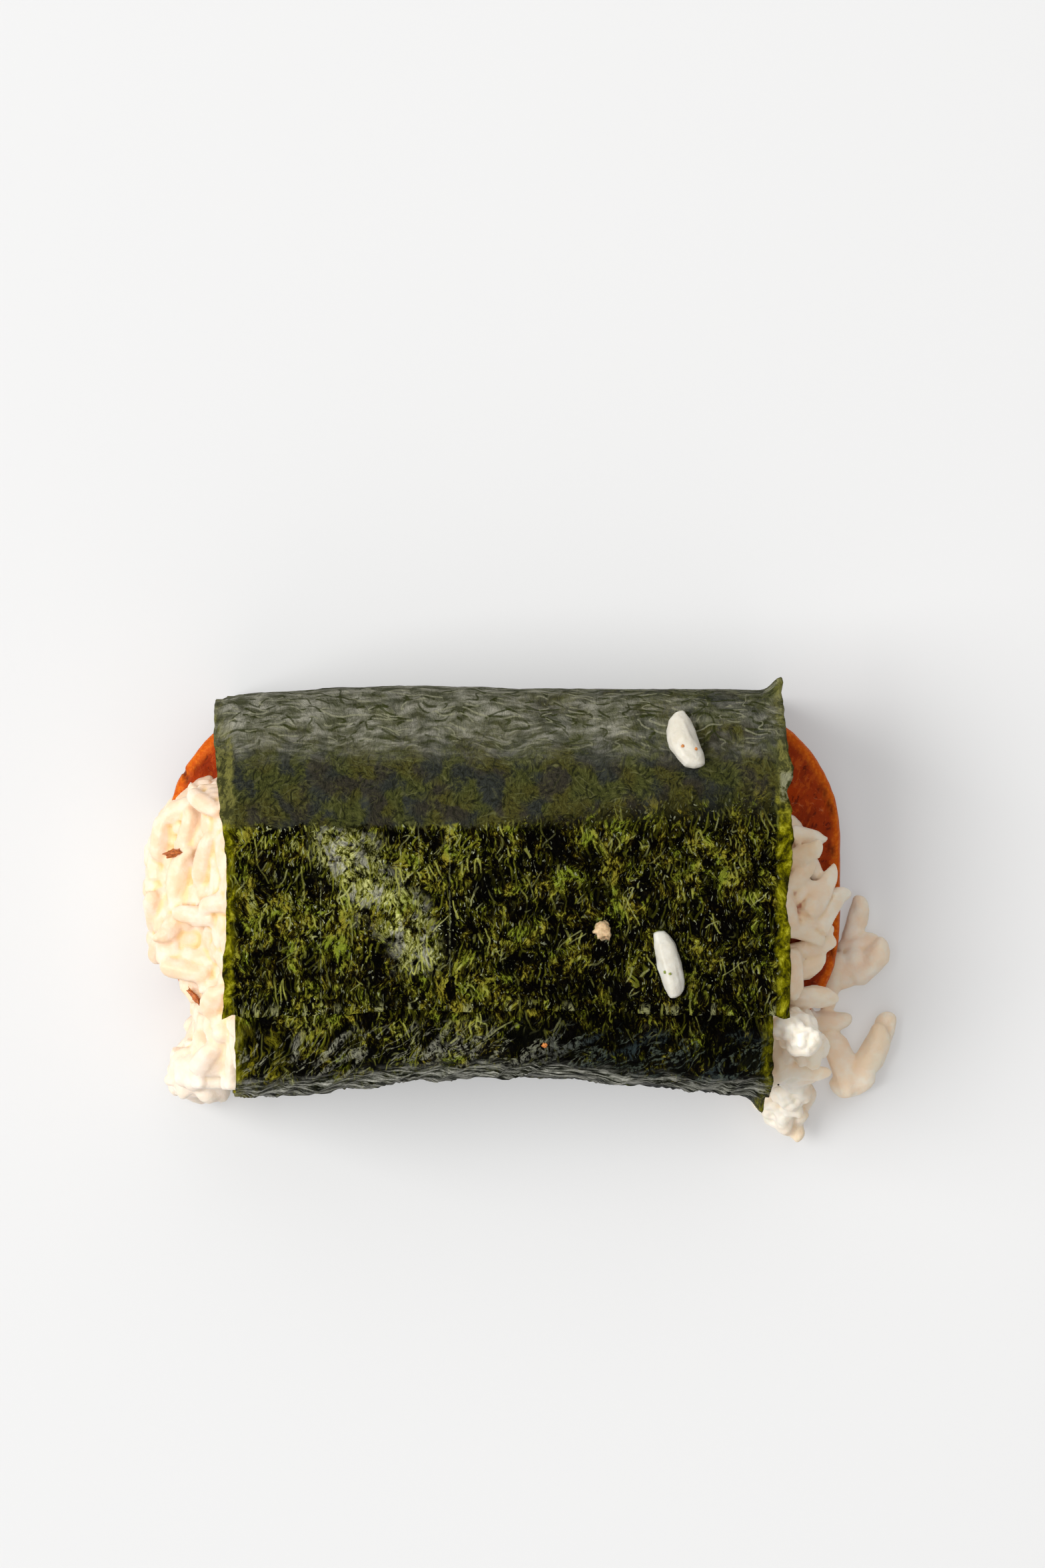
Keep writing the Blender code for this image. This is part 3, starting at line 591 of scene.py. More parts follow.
    def far_corner_sheen(self, colour):
        """Adds a painted pale sheen where the strip curves over the far corner, most to the left, with
        dark crinkled leaves.
        """
        cloud = self.mottle(self.at, 0.20, 5.0, 0.62, 0.2, (0.45, 1.0))
        far_sheen_noise = self.mottle(self.lazy, 0.9, 6.0, 0.66, 0.0, (0.32, 1.0))
        far_sheen_tone = self.ramp(far_sheen_noise, (
            (0.36, (0.072, 0.074, 0.040)), (0.50, (0.170, 0.168, 0.118)),
            (0.64, (0.330, 0.320, 0.255)),
        ))
        share = self.crest * (0.92 - 0.45 * self.x.above(-6.0, 26.0) + 2.2 * (cloud - 0.5))
        colour = self.mix(share.at_least(0.0).at_most(0.95), colour, far_sheen_tone)
        return self.strewn(colour, self.lazy, self.crest, (
            (76.0, 0.32, 0.62, 0.34, 0.49, 0.75, (0.026, 0.031, 0.004)),
            (97.0, 0.26, 0.55, 0.28, 0.50, 0.75, (0.030, 0.036, 0.005)),
            (84.0, 0.22, 0.95, 0.22, 0.50, 0.55, (0.340, 0.335, 0.215)),
        ))

    def creased(self, colour):
        """Paints light and shade on the creases where the strip turns down: shade in their valleys, pale
        highlights on their crowns, bluish reflections to the right.
        """
        fold = self.attribute("fold_share")
        # Painted shade in the crease valleys.
        valley_shade = self.turned_down * fold.below(0.05, 0.40) * (0.25 + 0.65 * self.to_right)
        colour = self.mix(valley_shade, colour, (0.0026, 0.0028, 0.0012))
        wrinkle = self.mottle(self.turned(self.lazy, CREASE_SLANT), 1.0, 4.0, 0.60, 0.2, (0.11, 0.42))
        on_crease = self.turned_down * (1.0 - self.grazing_sheen)
        blue_reflection_side = self.x.above(-2.0, 14.0)
        # Painted highlights on the crease crowns and crisp lines, bluish painted reflections to the
        # right.
        crown_highlight = fold.above(0.50, 1.00) * self.fine.above(0.42, 0.56) * wrinkle.above(0.42, 0.54)
        crown_highlight_tone = self.mix(blue_reflection_side, (0.240, 0.236, 0.180), (0.026, 0.038, 0.039))
        colour = self.mix(crown_highlight * on_crease * 0.9, colour, crown_highlight_tone)
        crisp_highlight = abs(wrinkle - 0.5).below(0.0, 0.035) * self.fine.above(0.42, 0.54)
        crisp_highlight_tone = self.mix(blue_reflection_side, (0.320, 0.320, 0.220), (0.085, 0.105, 0.080))
        colour = self.mix(crisp_highlight * on_crease * 0.7, colour, crisp_highlight_tone)
        yellow = self.turned_down * self.x.below(-35.0, -27.0)
        yellow = yellow * self.mass.above(0.44, 0.58) * self.fine.above(0.38, 0.55)
        return self.mix(yellow * 0.8, colour, (0.270, 0.235, 0.010))

    def sheen_at_near_corner(self, colour):
        """Adds a painted grey sheen, in threads, along the fold at the top of the near wall, where the
        strip turns away at a grazing angle.
        """
        straight = self.warp(self.at, 0.15, 3.6, flat=True)
        threads = self.mottle(straight, 1.9, 7.0, 0.72, 0.1, (0.14, 1.0))
        sheen_grey = self.ramp(threads, (
            (0.40, (0.002, 0.003, 0.001)), (0.47, (0.048, 0.050, 0.034)),
            (0.54, (0.300, 0.302, 0.250)), (0.62, (0.560, 0.550, 0.480)),
        ))
        return self.mix(self.grazing_sheen * 0.9, colour, sheen_grey)

    def folded(self, colour):
        """Adds faint straight folds down the flap, and a painted highlight on the crinkle along its end.
        """
        on_flap = self.past_dry * self.place.above(self.top_start, self.top_start + 1.0)
        for fold_x in (-24.7, -11.4, -7.2):
            line = abs(self.x - fold_x).below(0.03, 0.16) * on_flap * self.fine.above(0.44, 0.54)
            colour = self.mix(line * 0.45, colour, (0.260, 0.270, 0.130))
        # Painted highlight on the crinkled end of the flap.
        crinkle_highlight = self.place.above(self.top_end - 1.5, self.top_end - 0.3) * self.near.below(0.0, 0.1)
        crinkle_highlight = crinkle_highlight * self.fine.above(0.42, 0.52)
        crinkle_highlight = crinkle_highlight * self.mottle(self.at, 0.5, 2.0, drawn_out=(1.0, 0.3)).above(0.54, 0.62)
        return self.mix(crinkle_highlight * 0.7, colour, (0.380, 0.380, 0.170))

    def one_layer_thick(self, colour):
        """Past the under turn's edges the flap is one layer thick, and the light that comes through it
        is painted in as a bright lime; a bent bit at the right edge has a pale painted highlight.
        """
        x, place, start = self.x, self.place, self.top_start
        under_edge = 36.5 + 0.7 * x.above(-1.0, 1.0)
        ragged = self.mottle(self.at, 0.30, 4.0, 0.65, drawn_out=(0.0, 1.0))
        under_edge = under_edge + 2.4 * (ragged - 0.5)
        single = (abs(x) - under_edge).above(-0.25, 0.45) * place.above(start - 4.0, start + 2.0)
        thin_break = self.mottle(self.lazy, 0.8, 6.0, 0.68, 0.1, (1.0, 0.7))
        lit_through_tone = self.ramp(thin_break, (
            (0.36, (0.014, 0.012, 0.001)), (0.46, (0.090, 0.083, 0.001)),
            (0.55, (0.220, 0.205, 0.002)), (0.68, (0.500, 0.470, 0.030)),
        ))
        lit_through_dry_tone = self.mix(thin_break.above(0.42, 0.58), (0.060, 0.060, 0.020), (0.220, 0.210, 0.055))
        lit_through_tone = self.mix(self.dry, lit_through_tone, lit_through_dry_tone)
        frayed = self.attribute("edge_share")
        colour = self.mix(single.at_least(frayed * 0.6) * 0.9, colour, lit_through_tone)
        # Painted pale highlight on the bent bit at the right edge.
        bent_highlight = (x - 37.4).above(0.0, 0.5) * place.above(start + 4.0, start + 5.0)
        bent_highlight = bent_highlight * place.below(start + 8.0, start + 9.0) * thin_break.above(0.42, 0.56)
        return self.mix(bent_highlight * 0.45, colour, (0.40, 0.40, 0.32))


def rice_finish(name, low, high, deep_shade):
    """Moist cooked rice: cream, whiter where it is chalky, with painted tan shade in the gaps and a
    darker painted shade deep down in them.
    """
    make = Finish(name)
    at = make.object_place()
    tone = make.attribute("tone")
    gap = make.attribute("gap")
    chalk = make.noise(at, 0.35, 3.0, 0.6)
    cream = make.mix(chalk.above(0.35, 0.68), low, high)
    cream = make.mix(tone.above(0.60, 1.0) * 0.30, cream, (0.90, 0.74, 0.50))
    to_left = make.part_of(at, 0).below(-3.0, 3.0)
    # Painted shade: warm tan in the gaps, strongest at the left end.
    cream = make.mix(gap.above(0.08, 0.50) * (0.40 + 0.48 * to_left), cream, (0.87, 0.66, 0.34))
    over_meat = make.part_of(at, 1).above(-14.0, -11.0)
    # Painted shade deep in the gaps, in the end's deep tone towards the back and tan towards the front.
    deep_shade = make.mix(over_meat, (0.84, 0.63, 0.40), deep_shade)
    cream = make.mix(gap.above(0.42, 0.80) * 0.85, cream, deep_shade)
    crumbled = make.attribute("crumbled") * (1.0 - 0.7 * to_left)
    cream = make.mix(crumbled * 0.75, cream, (0.980, 0.910, 0.810))
    # Painted light: the front of the left end, which faces away from the light, is painted paler.
    spread = make.part_of(at, 1).below(-24.0, -13.0) * to_left
    cream = make.mix(spread * 0.50, cream, (0.92, 0.835, 0.750))
    grainy = make.noise(at, 2.6, 3.0, 0.6)
    dimples = make.cells(at, 1.1)
    relief = 0.6 * grainy + 0.4 * dimples
    make.surface(
        Base_Color=cream, Roughness=0.34 + 0.22 * grainy,
        Subsurface_Weight=0.45, Subsurface_Radius=(1.0, 0.80, 0.60), Subsurface_Scale=0.0016,
        Specular_IOR_Level=0.30, Coat_Weight=0.06, Coat_Roughness=0.25,
        Normal=make.bump(relief, 0.00022, 0.55),
    )
    return make.material


def meat_finish():
    """Browned luncheon meat: red-brown and slashed on its face with painted glossy highlights, orange
    round the rim.
    """
    make = Finish("luncheon_meat")
    at = make.object_place()
    rim = make.attribute("rim_share")
    pit = make.attribute("pit_share")
    wander = make.noise(at, 0.20, 4.0, 0.6)
    face = make.mix(wander.above(0.34, 0.68), (0.230, 0.022, 0.002), (0.380, 0.042, 0.003))
    speck = make.noise(at, 1.7, 3.0, 0.65)
    leaning = make.turned(make.warp(at, 0.5, 1.4), 22.0)
    streak = make.noise(make.stretch(leaning, (1.0, 0.30, 1.0)), 1.3, 5.0, 0.66)
    face = make.mix(streak.above(0.52, 0.62) * 0.7, face, (0.500, 0.082, 0.007))
    face = make.mix(speck.above(0.58, 0.74) * 0.5, face, (0.500, 0.110, 0.020))
    face = make.mix(streak.below(0.36, 0.42) * 0.80, face, (0.085, 0.008, 0.002))
    # Painted glossy highlights on the face.
    glossy_highlight = make.noise(make.stretch(leaning, (0.5, 2.0, 1.0)), 1.1, 4.0, 0.7).above(0.60, 0.68)
    face = make.mix(glossy_highlight * 0.45, face, (0.560, 0.190, 0.080))
    orange = make.mix(speck.above(0.40, 0.66), (0.560, 0.088, 0.004), (0.700, 0.160, 0.010))
    colour = make.mix(rim, face, orange)
    wall = make.part_of(at, 2).below((SLICE_TOP / MM) - 3.0, (SLICE_TOP / MM) - 1.2)
    colour = make.mix(wall * 0.8, colour, (0.190, 0.045, 0.008))
    colour = make.mix(pit * 0.85, colour, (0.080, 0.008, 0.002))
    relief = 0.3 * speck + 0.3 * wander + 0.6 * streak
    make.surface(
        Base_Color=colour, Roughness=0.34 + 0.22 * speck,
        Subsurface_Weight=0.05, Subsurface_Radius=(1.0, 0.35, 0.20), Subsurface_Scale=0.0008,
        Specular_IOR_Level=0.04, Coat_Weight=0.02, Coat_Roughness=0.20,
        Normal=make.bump(relief, 0.00045, 0.7),
    )
    return make.material


def crumb_finish(name, low, high):
    make = Finish(name)
    at = make.object_place()
    grainy = make.noise(at, 2.2, 3.0, 0.6)
    colour = make.mix(grainy.above(0.35, 0.65), low, high)
    make.surface(
        Base_Color=colour, Roughness=0.45 + 0.2 * grainy,
        Subsurface_Weight=0.2, Subsurface_Scale=0.0006, Normal=make.bump(grainy, 0.0002, 0.6),
    )
    return make.material


def table_finish():
    make = Finish("pale_table")
    at = make.object_place()
    wash = make.noise(at, 0.004, 2.0, 0.5)
    colour = make.mix(wash, (0.555, 0.555, 0.555), (0.570, 0.570, 0.570))
    make.surface(
        Base_Color=colour, Roughness=0.62 + 0.05 * wash, Specular_IOR_Level=0.2,
        Emission_Color=(1.0, 1.0, 1.0), Emission_Strength=0.20,
    )
    return make.material


# Nori


def wrap_pieces():
    """The strip's middle line as lines and arcs, from the inner end to the flap's end."""
    near, far, low = -NEAR_DEPTH, FAR_DEPTH, SOLID_NORI / 2
    near_top, far_top, foot = NEAR_TOP_RADIUS, FAR_TOP_RADIUS, BOTTOM_RADIUS
    return [
        ("line", (INNER_END_Y, WRAP_TOP), (near + near_top, WRAP_TOP)),
        ("arc", (near + near_top, WRAP_TOP - near_top), near_top, 90),
        ("line", (near, WRAP_TOP - near_top), (near, low + foot)),
        ("arc", (near + foot, low + foot), foot, 180),
        ("line", (near + foot, low), (far - foot, low)),
        ("arc", (far - foot, low + foot), foot, 270),
        ("line", (far, low + foot), (far, WRAP_TOP - far_top)),
        ("arc", (far - far_top, WRAP_TOP - far_top), far_top, 0),
        ("line", (far - far_top, WRAP_TOP), (FLAP_END_Y, WRAP_TOP)),
    ]


def piece_length(piece):
    if piece[0] == "line":
        return math.dist(piece[1], piece[2])
    return piece[2] * math.pi / 2


PIECES = wrap_pieces()
ROW_SPACINGS = [v * MM for v in (0.90, 0.50, 0.60, 0.45, 2.60, 0.45, 0.85, 0.45, 0.43)]
REACHES = np.concatenate([[0.0], np.cumsum([piece_length(p) for p in PIECES])])
STRIP_LENGTH = float(REACHES[-1])
NEAR_CORNER, NEAR_SIDE, UNDERSIDE, FAR_SIDE, FAR_CORNER = (
    float(REACHES[i] + REACHES[i + 1]) / 2 for i in (1, 2, 4, 6, 7)
)
FAR_FOOT, ON_TOP_AGAIN = float(REACHES[5]), float(REACHES[8])
SPIKES = ((FAR_CORNER - 0.003, 0.0022), (NEAR_CORNER + 0.010, 0.0028))

# Where the strip's two cut edges run, at places along it.
LEFT_PLACES = [
    0, NEAR_CORNER, NEAR_SIDE, UNDERSIDE, FAR_SIDE, FAR_CORNER,
    *(ON_TOP_AGAIN + v * MM for v in (0.3, 3.9, 10.2, 12.9, 16.6, 24.7, 28.3, 31.0, 33.7)),
    STRIP_LENGTH,
]
LEFT_EDGE = [v * MM for v in (
    -36.4, -36.3, -37.8, -38.5, -39.2, -39.3,
    -39.1, -38.8, -38.4, -37.9, -37.5, -37.5, -37.7, -38.0, -37.9,
    -38.1,
)]
RIGHT_PLACES = [
    0, NEAR_CORNER, NEAR_SIDE, UNDERSIDE, FAR_SIDE, FAR_CORNER,
    *(ON_TOP_AGAIN + v * MM for v in (0.3, 2.1, 3.9, 5.7, 7.0, 9.3, 12.9, 17.4, 21.1, 23.8, 26.5, 30.1)),
    STRIP_LENGTH,
]
RIGHT_EDGE = [v * MM for v in (
    36.2, 36.8, 35.2, 36.6, 38.0, 38.1,
    38.6, 38.8, 39.4, 39.3, 38.5, 39.1, 39.4, 39.2, 38.5, 38.6, 39.0, 39.1,
    38.9,
)]

# The inner turn lies flat under the flap, and the flap settles on it towards its end.
SETTLED_LIFT = 0.00036
SETTLE_START, SETTLE_END = 0.011, 0.003
CURL_HEIGHT = 0.0002
CURL_LENGTH = 0.0014


def row_places():
    places = [0.0]
    for piece, spacing in zip(PIECES, ROW_SPACINGS):
        length = piece_length(piece)
        steps = max(round(length / spacing), 1)
        start = places[-1]
        places += [start + length * (i + 1) / steps for i in range(steps)]
    return places


def middle_line(place):
    """The point of the strip's middle line at a length along it, and its outward normal."""
    index = min(int(np.searchsorted(REACHES, place, side="right")) - 1, len(PIECES) - 1)
    piece = PIECES[index]
    into = place - REACHES[index]
    if piece[0] == "line":
        (y0, z0), (y1, z1) = piece[1], piece[2]
        length = piece_length(piece)
        along = ((y1 - y0) / length, (z1 - z0) / length)
        return (y0 + along[0] * into, z0 + along[1] * into), (along[1], -along[0])
    centre, radius, start = piece[1], piece[2], piece[3]
    angle = math.radians(start) + into / radius
    outward = (math.cos(angle), math.sin(angle))
    return (centre[0] + radius * outward[0], centre[1] + radius * outward[1]), outward


def wander(x, y, length, seed):
    """A smooth noise from about -1 to 1 over a plane."""
    return noise.noise(Vector((x / length, y / length, seed)))


def waves(x, y, rows):
    """Several smooth noises added up: height, length and seed of each."""
    return sum(height * wander(x, y, length, seed) for height, length, seed in rows)


def crease(x, place):
    """Slanting creases near the fold: where they are pressed in, and how near to a crown."""
    creased = smoothstep(*CREASE_START, place)
    creased *= 1 - smoothstep(NEAR_SIDE, NEAR_SIDE + CREASE_FADE, place)
    turned = math.radians(CREASE_SLANT)
    u = x * math.cos(turned) - place * math.sin(turned)
    v = x * math.sin(turned) + place * math.cos(turned)
    folds = 1 - 2.6 * abs(noise.noise(Vector((u / 0.0085, v / 0.0027, 2.5))))
    finer = 1 - 2.6 * abs(noise.noise(Vector((u / 0.0060, v / 0.0016, 8.5))))
    return creased, max(folds, 0.0) ** 1.8 + 0.40 * max(finer, 0.0)


def nori_relief(x, y, z, place):
    """How far the sheet's cockles and creases stand out from its middle line."""
    lifted = smoothstep(*OFF_THE_GROUND, z)
    cockle = waves(x, y + z, COCKLES)
    rub = 1 - 2 * abs(wander(x, place * 0.5, 0.0026, 7.0))
    fine = 0.00004 * wander(x, place * 0.6, 0.0011, 9.0)
    creased, folds = crease(x, place)
    flap = smoothstep(ON_TOP_AGAIN + 0.010, ON_TOP_AGAIN + 0.014, place)
    pleats = wander(x, place * 0.28, 0.0016, 12.0) + 0.6 * wander(x, place * 0.4, 0.0034, 13.0)
    relief = lifted * (cockle + 0.00006 * rub + fine) + creased * 0.00060 * (folds - 0.3)
    return relief + flap * 0.00010 * pleats


def nori_point(place, across):
    """A point of the strip's middle surface; across runs from 0 at the left edge to 1."""
    left = float(np.interp(place, LEFT_PLACES, LEFT_EDGE))
    right = float(np.interp(place, RIGHT_PLACES, RIGHT_EDGE))
    left += waves(place, 0.0, LEFT_FRAY)
    right += waves(place, 0.0, RIGHT_FRAY)
    x = left + (right - left) * across
    cut = smoothstep(STRIP_LENGTH - 0.004, STRIP_LENGTH, place)
    slack = cut * waves(x, 0.0, END_FRAY)
    (y, z), outward = middle_line(place)
    y -= slack
    lift = LAP_STEP * smoothstep(FAR_FOOT, FAR_SIDE, place)
    settled = smoothstep(STRIP_LENGTH - SETTLE_START, STRIP_LENGTH - SETTLE_END, place)
    lift -= (LAP_STEP - SETTLED_LIFT) * settled
    curl = max(wander(x, 0.0, 0.005, 33.0) + 0.25, 0.0)
    lift += CURL_HEIGHT * curl * smoothstep(STRIP_LENGTH - CURL_LENGTH, STRIP_LENGTH, place)
    relief = nori_relief(x, y, z, place)
    from_right = right - x
    for at, height in SPIKES:
        beside = ((place - at) / SPIKE_SPREAD) ** 2 + (from_right / SPIKE_SPREAD) ** 2
        lift += height * math.exp(-beside)
    y += outward[0] * (lift + relief)
    z += outward[1] * (lift + relief)
    near = float(np.interp(x, NEAR_OUTLINE_X, NEAR_OUTLINE)) - NEAR_DEPTH
    far = float(np.interp(x, FAR_OUTLINE_X, FAR_OUTLINE)) - FAR_DEPTH
    lifted = smoothstep(*OFF_THE_GROUND, z)
    y -= near * smoothstep(FLAT_HALF, NEAR_DEPTH, -y) * lifted
    y += far * smoothstep(FLAT_HALF, FAR_DEPTH, y) * lifted
    edge = min(x - left, right - x)
    return Vector((x, y, z)), edge


def nori_strip():
    places = row_places()
    bm = bmesh.new()
    bmesh.ops.create_grid(
        bm, x_segments=NORI_COLUMNS, y_segments=len(places) - 1, size=1.0, calc_uvs=True,
    )
    sheet = bm.loops.layers.uv.new("sheet")
    edge_share = bm.verts.layers.float.new("edge_share")
    fold_share = bm.verts.layers.float.new("fold_share")
    where = {}
    for vertex in bm.verts:
        row = round((vertex.co.y + 1) / 2 * (len(places) - 1))
        across = (vertex.co.x + 1) / 2
        place = places[row]
        vertex.co, edge = nori_point(place, across)
        width = THIN_EDGE + THIN_EDGE_WAVE * wander(place, across, 0.004, 40.0)
        vertex[edge_share] = 1 - smoothstep(0.3 * width, width, edge)
        creased, folds = crease(vertex.co.x, place)
        vertex[fold_share] = creased * folds
        where[vertex.index] = (vertex.co.x / SHEET_UNIT + 0.5, place / SHEET_UNIT)
    for face in bm.faces:
        for loop in face.loops:
            loop[sheet].uv = where[loop.vert.index]
    strip = piece_from(bm, "nori_strip")
    solidify = strip.modifiers.new("thickness", "SOLIDIFY")
    solidify.thickness = NORI_THICKNESS
    solidify.offset = 0.0
    apply_modifiers(strip)
    strip.data.materials.append(NoriFinish().material)
    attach(strip, "root")
    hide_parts("nori_wrap")
    return strip


# Rice


def face_reach(y, height_share, top, foot, near_trim, near_part, far_part):
    """How far out an end face of the block stands at a depth and a height."""
    foot -= near_trim * smoothstep(*near_part, -y)
    reach = foot + (top - foot) * height_share**END_CURVE
    return reach + (UNDER_NORI - reach) * smoothstep(*far_part, y)


def rice_core(bm):
    """The pressed block under the showing grains."""
    made = bmesh.ops.create_uvsphere(
        bm, u_segments=RICE_RING_SIDES, v_segments=RICE_RINGS, radius=1.0,
    )
    middle = (RICE_BASE + RICE_TOP) / 2
    half_height = (RICE_TOP - RICE_BASE) / 2
    caps = len(CAP_SHARES)
    for vertex in made["verts"]:
        ring = round(math.acos(max(min(vertex.co.z, 1.0), -1.0)) / math.pi * RICE_RINGS)
        angle = math.atan2(vertex.co.y, vertex.co.x)
        from_end = min(ring, RICE_RINGS - ring)
        share = 0.0 if from_end == 0 else CAP_SHARES[min(from_end, caps) - 1]
        y = share * RICE_HALF_DEPTH * signed_power(math.cos(angle), RICE_SQUARENESS)
        rise = share * signed_power(math.sin(angle), RICE_SQUARENESS)
        left = -face_reach(y, (rise + 1) / 2, *LEFT_FACE) + CORE_SINK
        right = face_reach(y, (rise + 1) / 2, *RIGHT_FACE) - CORE_SINK
        along = min(max((ring - caps) / (RICE_RINGS - 2 * caps), 0.0), 1.0)
        vertex.co = (right + (left - right) * along, y, middle + half_height * rise)


def mound(bm, centre, radii):
    """A heap of slumped rice that stands on the table."""
    made = bmesh.ops.create_icosphere(bm, subdivisions=3, radius=1.0)
    size = Vector(radii) * MM - Vector((CORE_SINK,) * 3)
    for vertex in made["verts"]:
        vertex.co = Vector(a * b for a, b in zip(vertex.co, size)) + Vector(centre) * MM
        vertex.co.z = max(vertex.co.z, 0.0002)


def tree_of(bm):
    bm.verts.index_update()
    return BVHTree.FromBMesh(bm)


def dropped(tree, x, y):
    """Where something that falls straight down lands, or None."""
    return tree.ray_cast(Vector((x, y, DROP_HEIGHT)), DOWN)[0]


def ceiling(x, y):
    """How high the loose rice rises at a place seen from above."""
    if abs(x) < COVERED:
        return math.inf
    outward = CEILING_AT_WRAP - CEILING_FALL * max(abs(x) - CEILING_START, 0.0)
    if y < -CORNER_START:
        outward = min(outward, CEILING_AT_CORNER - NEAR_FALL * (-y - CORNER_START))
    return max(outward, FLOOR_HEAP)


def grain(bm, centre, along, up, length, width, thickness, chance, whole=False):
    """One cooked grain, blunt and a little bent; a whole one is rounder and not broken off."""
    side = up.cross(along).normalized()
    up = along.cross(side)
    turn = Matrix((along, side, up)).transposed()
    bend = length * chance.uniform(-0.07, 0.07)
    taper = chance.uniform(-0.14, 0.14)
    point = max(chance.uniform(-0.35, 0.55), 0.0)
    broken = chance.uniform(0.70, 1.35)
    slant = chance.uniform(-0.25, 0.25)
    sides, squareness = GRAIN_SIDES, GRAIN_SQUARENESS
    if whole:
        taper, point, broken = taper / 2, 0.0, 2.0
        sides, squareness = WHOLE_SIDES, WHOLE_SQUARENESS
    seed = chance.uniform(0, 90)
    tone = chance.random()
    layer = bm.verts.layers.float.get("tone") or bm.verts.layers.float.new("tone")
    made = bmesh.ops.create_uvsphere(
        bm, u_segments=sides, v_segments=GRAIN_RINGS, radius=1.0,
    )
    for vertex in made["verts"]:
        across, over, end = vertex.co
        ring = max(math.hypot(across, over), 1e-6)
        reach = signed_power(end, GRAIN_BLUNTNESS)
        full = (1 - min(abs(reach), 1.0) ** squareness) ** (1 / squareness) / ring
        full = full * (1 + taper * end) * (1 - point * smoothstep(0.1, 1.0, end))
        lumps = noise.noise(Vector((across, over, end * 1.8)) * 1.3 + Vector((seed, 0, 0)))
        full *= 1 + 0.26 * lumps
        reach = max(reach, slant * across - broken) * length / 2
        bow = bend * (1 - 2 * end * end)
        local = Vector((reach, across * full * width / 2 + bow, over * full * thickness / 2))
        vertex.co = centre + turn @ local
        vertex[layer] = tone


def face_grains(bm, chance, least, most):
    """Grains lying at random on what of the block and the heaps shows between two distances out."""
    tree = tree_of(bm)
    taken = []
    for _ in range(FACE_TRIES):
        side = chance.choice((-1, 1))
        origin = Vector((side * 0.07, chance.uniform(-0.035, 0.026), chance.uniform(0, 0.032)))
        aim = Vector((-side, 0, -chance.uniform(0.0, 0.6)))
        turned = chance.uniform(0, math.pi)
        hit, normal, _, _ = tree.ray_cast(origin, aim)
        if hit is None or not least <= abs(hit.x) < most or hit.z < GRAIN_THICKNESS / 2:
            continue
        if any((hit - other).length < FACE_SPACING for other in taken):
            continue
        taken.append(hit)
        flat = normal.orthogonal().normalized()
        along = (Matrix.Rotation(turned, 3, normal) @ flat).normalized()
        length = GRAIN_LENGTH * chance.uniform(0.80, 1.02)
        centre = hit + normal * (GRAIN_THICKNESS / 2 - FACE_GRAIN_SINK)
        lowest = GRAIN_THICKNESS / 2 + abs(along.z) * (length - GRAIN_THICKNESS) / 2
        centre.z = max(centre.z, lowest)
        sideways = GRAIN_THICKNESS / 2 + abs(along.y) * (length - GRAIN_THICKNESS) / 2
        centre.y = min(centre.y, FACE_FAR_REACH - sideways)
        width = GRAIN_WIDTH * chance.uniform(0.88, 1.02)
        grain(bm, centre, along, normal, length, width, GRAIN_THICKNESS * width / GRAIN_WIDTH, chance)


def inside_slice(x, y, grow):
    """Whether a point seen from above lies over the slice, grown by a distance."""
    past_x = max(abs(x) - (SLICE_LENGTH / 2 - SLICE_CORNER), 0.0)
    past_y = max(abs(y) - (SLICE_WIDTH / 2 - SLICE_CORNER), 0.0)
    return math.hypot(past_x, past_y) < SLICE_CORNER + grow


def resting_grain(bm, row, tree, cover, on_slice, chance, whole=False):
    """Drops a grain on what lies below it and tilts it until both halves are held up."""
    x, y, length, width = (row[i] * MM for i in (0, 1, 3, 4))
    thickness = width * GRAIN_THICKNESS / GRAIN_WIDTH
    heading = math.radians(row[2])
    run = Vector((math.cos(heading), math.sin(heading), 0))
    stops = [length * share for share in (-0.42, -0.28, -0.14, 0.0, 0.14, 0.28, 0.42)]
    heights = []
    for stop in stops:
        x_at, y_at = x + run.x * stop, y + run.y * stop
        if abs(x_at) < cover:
            continue
        hit = dropped(tree, x_at, y_at) if tree else None
        height = min(max(hit.z if hit else 0.0, 0.0), ceiling(x_at, y_at))
        if on_slice and inside_slice(x_at, y_at, CLEARANCE):
            height = max(height, RICE_BASE)
        below = thickness / 2 * math.sqrt(1 - (2 * stop / length) ** 2)
        heights.append((stop, height + below))
    best, lean = max(h for _, h in heights), 0.0
    lows = [pair for pair in heights if pair[0] <= 0]
    highs = [pair for pair in heights if pair[0] >= 0]
    if lows and highs:
        best = -1.0
        for s0, h0 in lows:
            for s1, h1 in highs:
                slope = (h1 - h0) / (s1 - s0) if s1 > s0 else 0.0
                slope = max(min(slope, STEEPEST_LIE), -STEEPEST_LIE)
                level = max(h0 - slope * s0, h1 - slope * s1)
                if level > best:
                    best, lean = level, slope
    along = Vector((run.x, run.y, lean)).normalized()
    centre = Vector((x, y, best - GRAIN_SINK))
    centre.z = max(centre.z, thickness / 2 + abs(along.z) * (length - thickness) / 2)
    grain(bm, centre, along, Vector((0, 0, 1)), length, width, thickness, chance, whole)


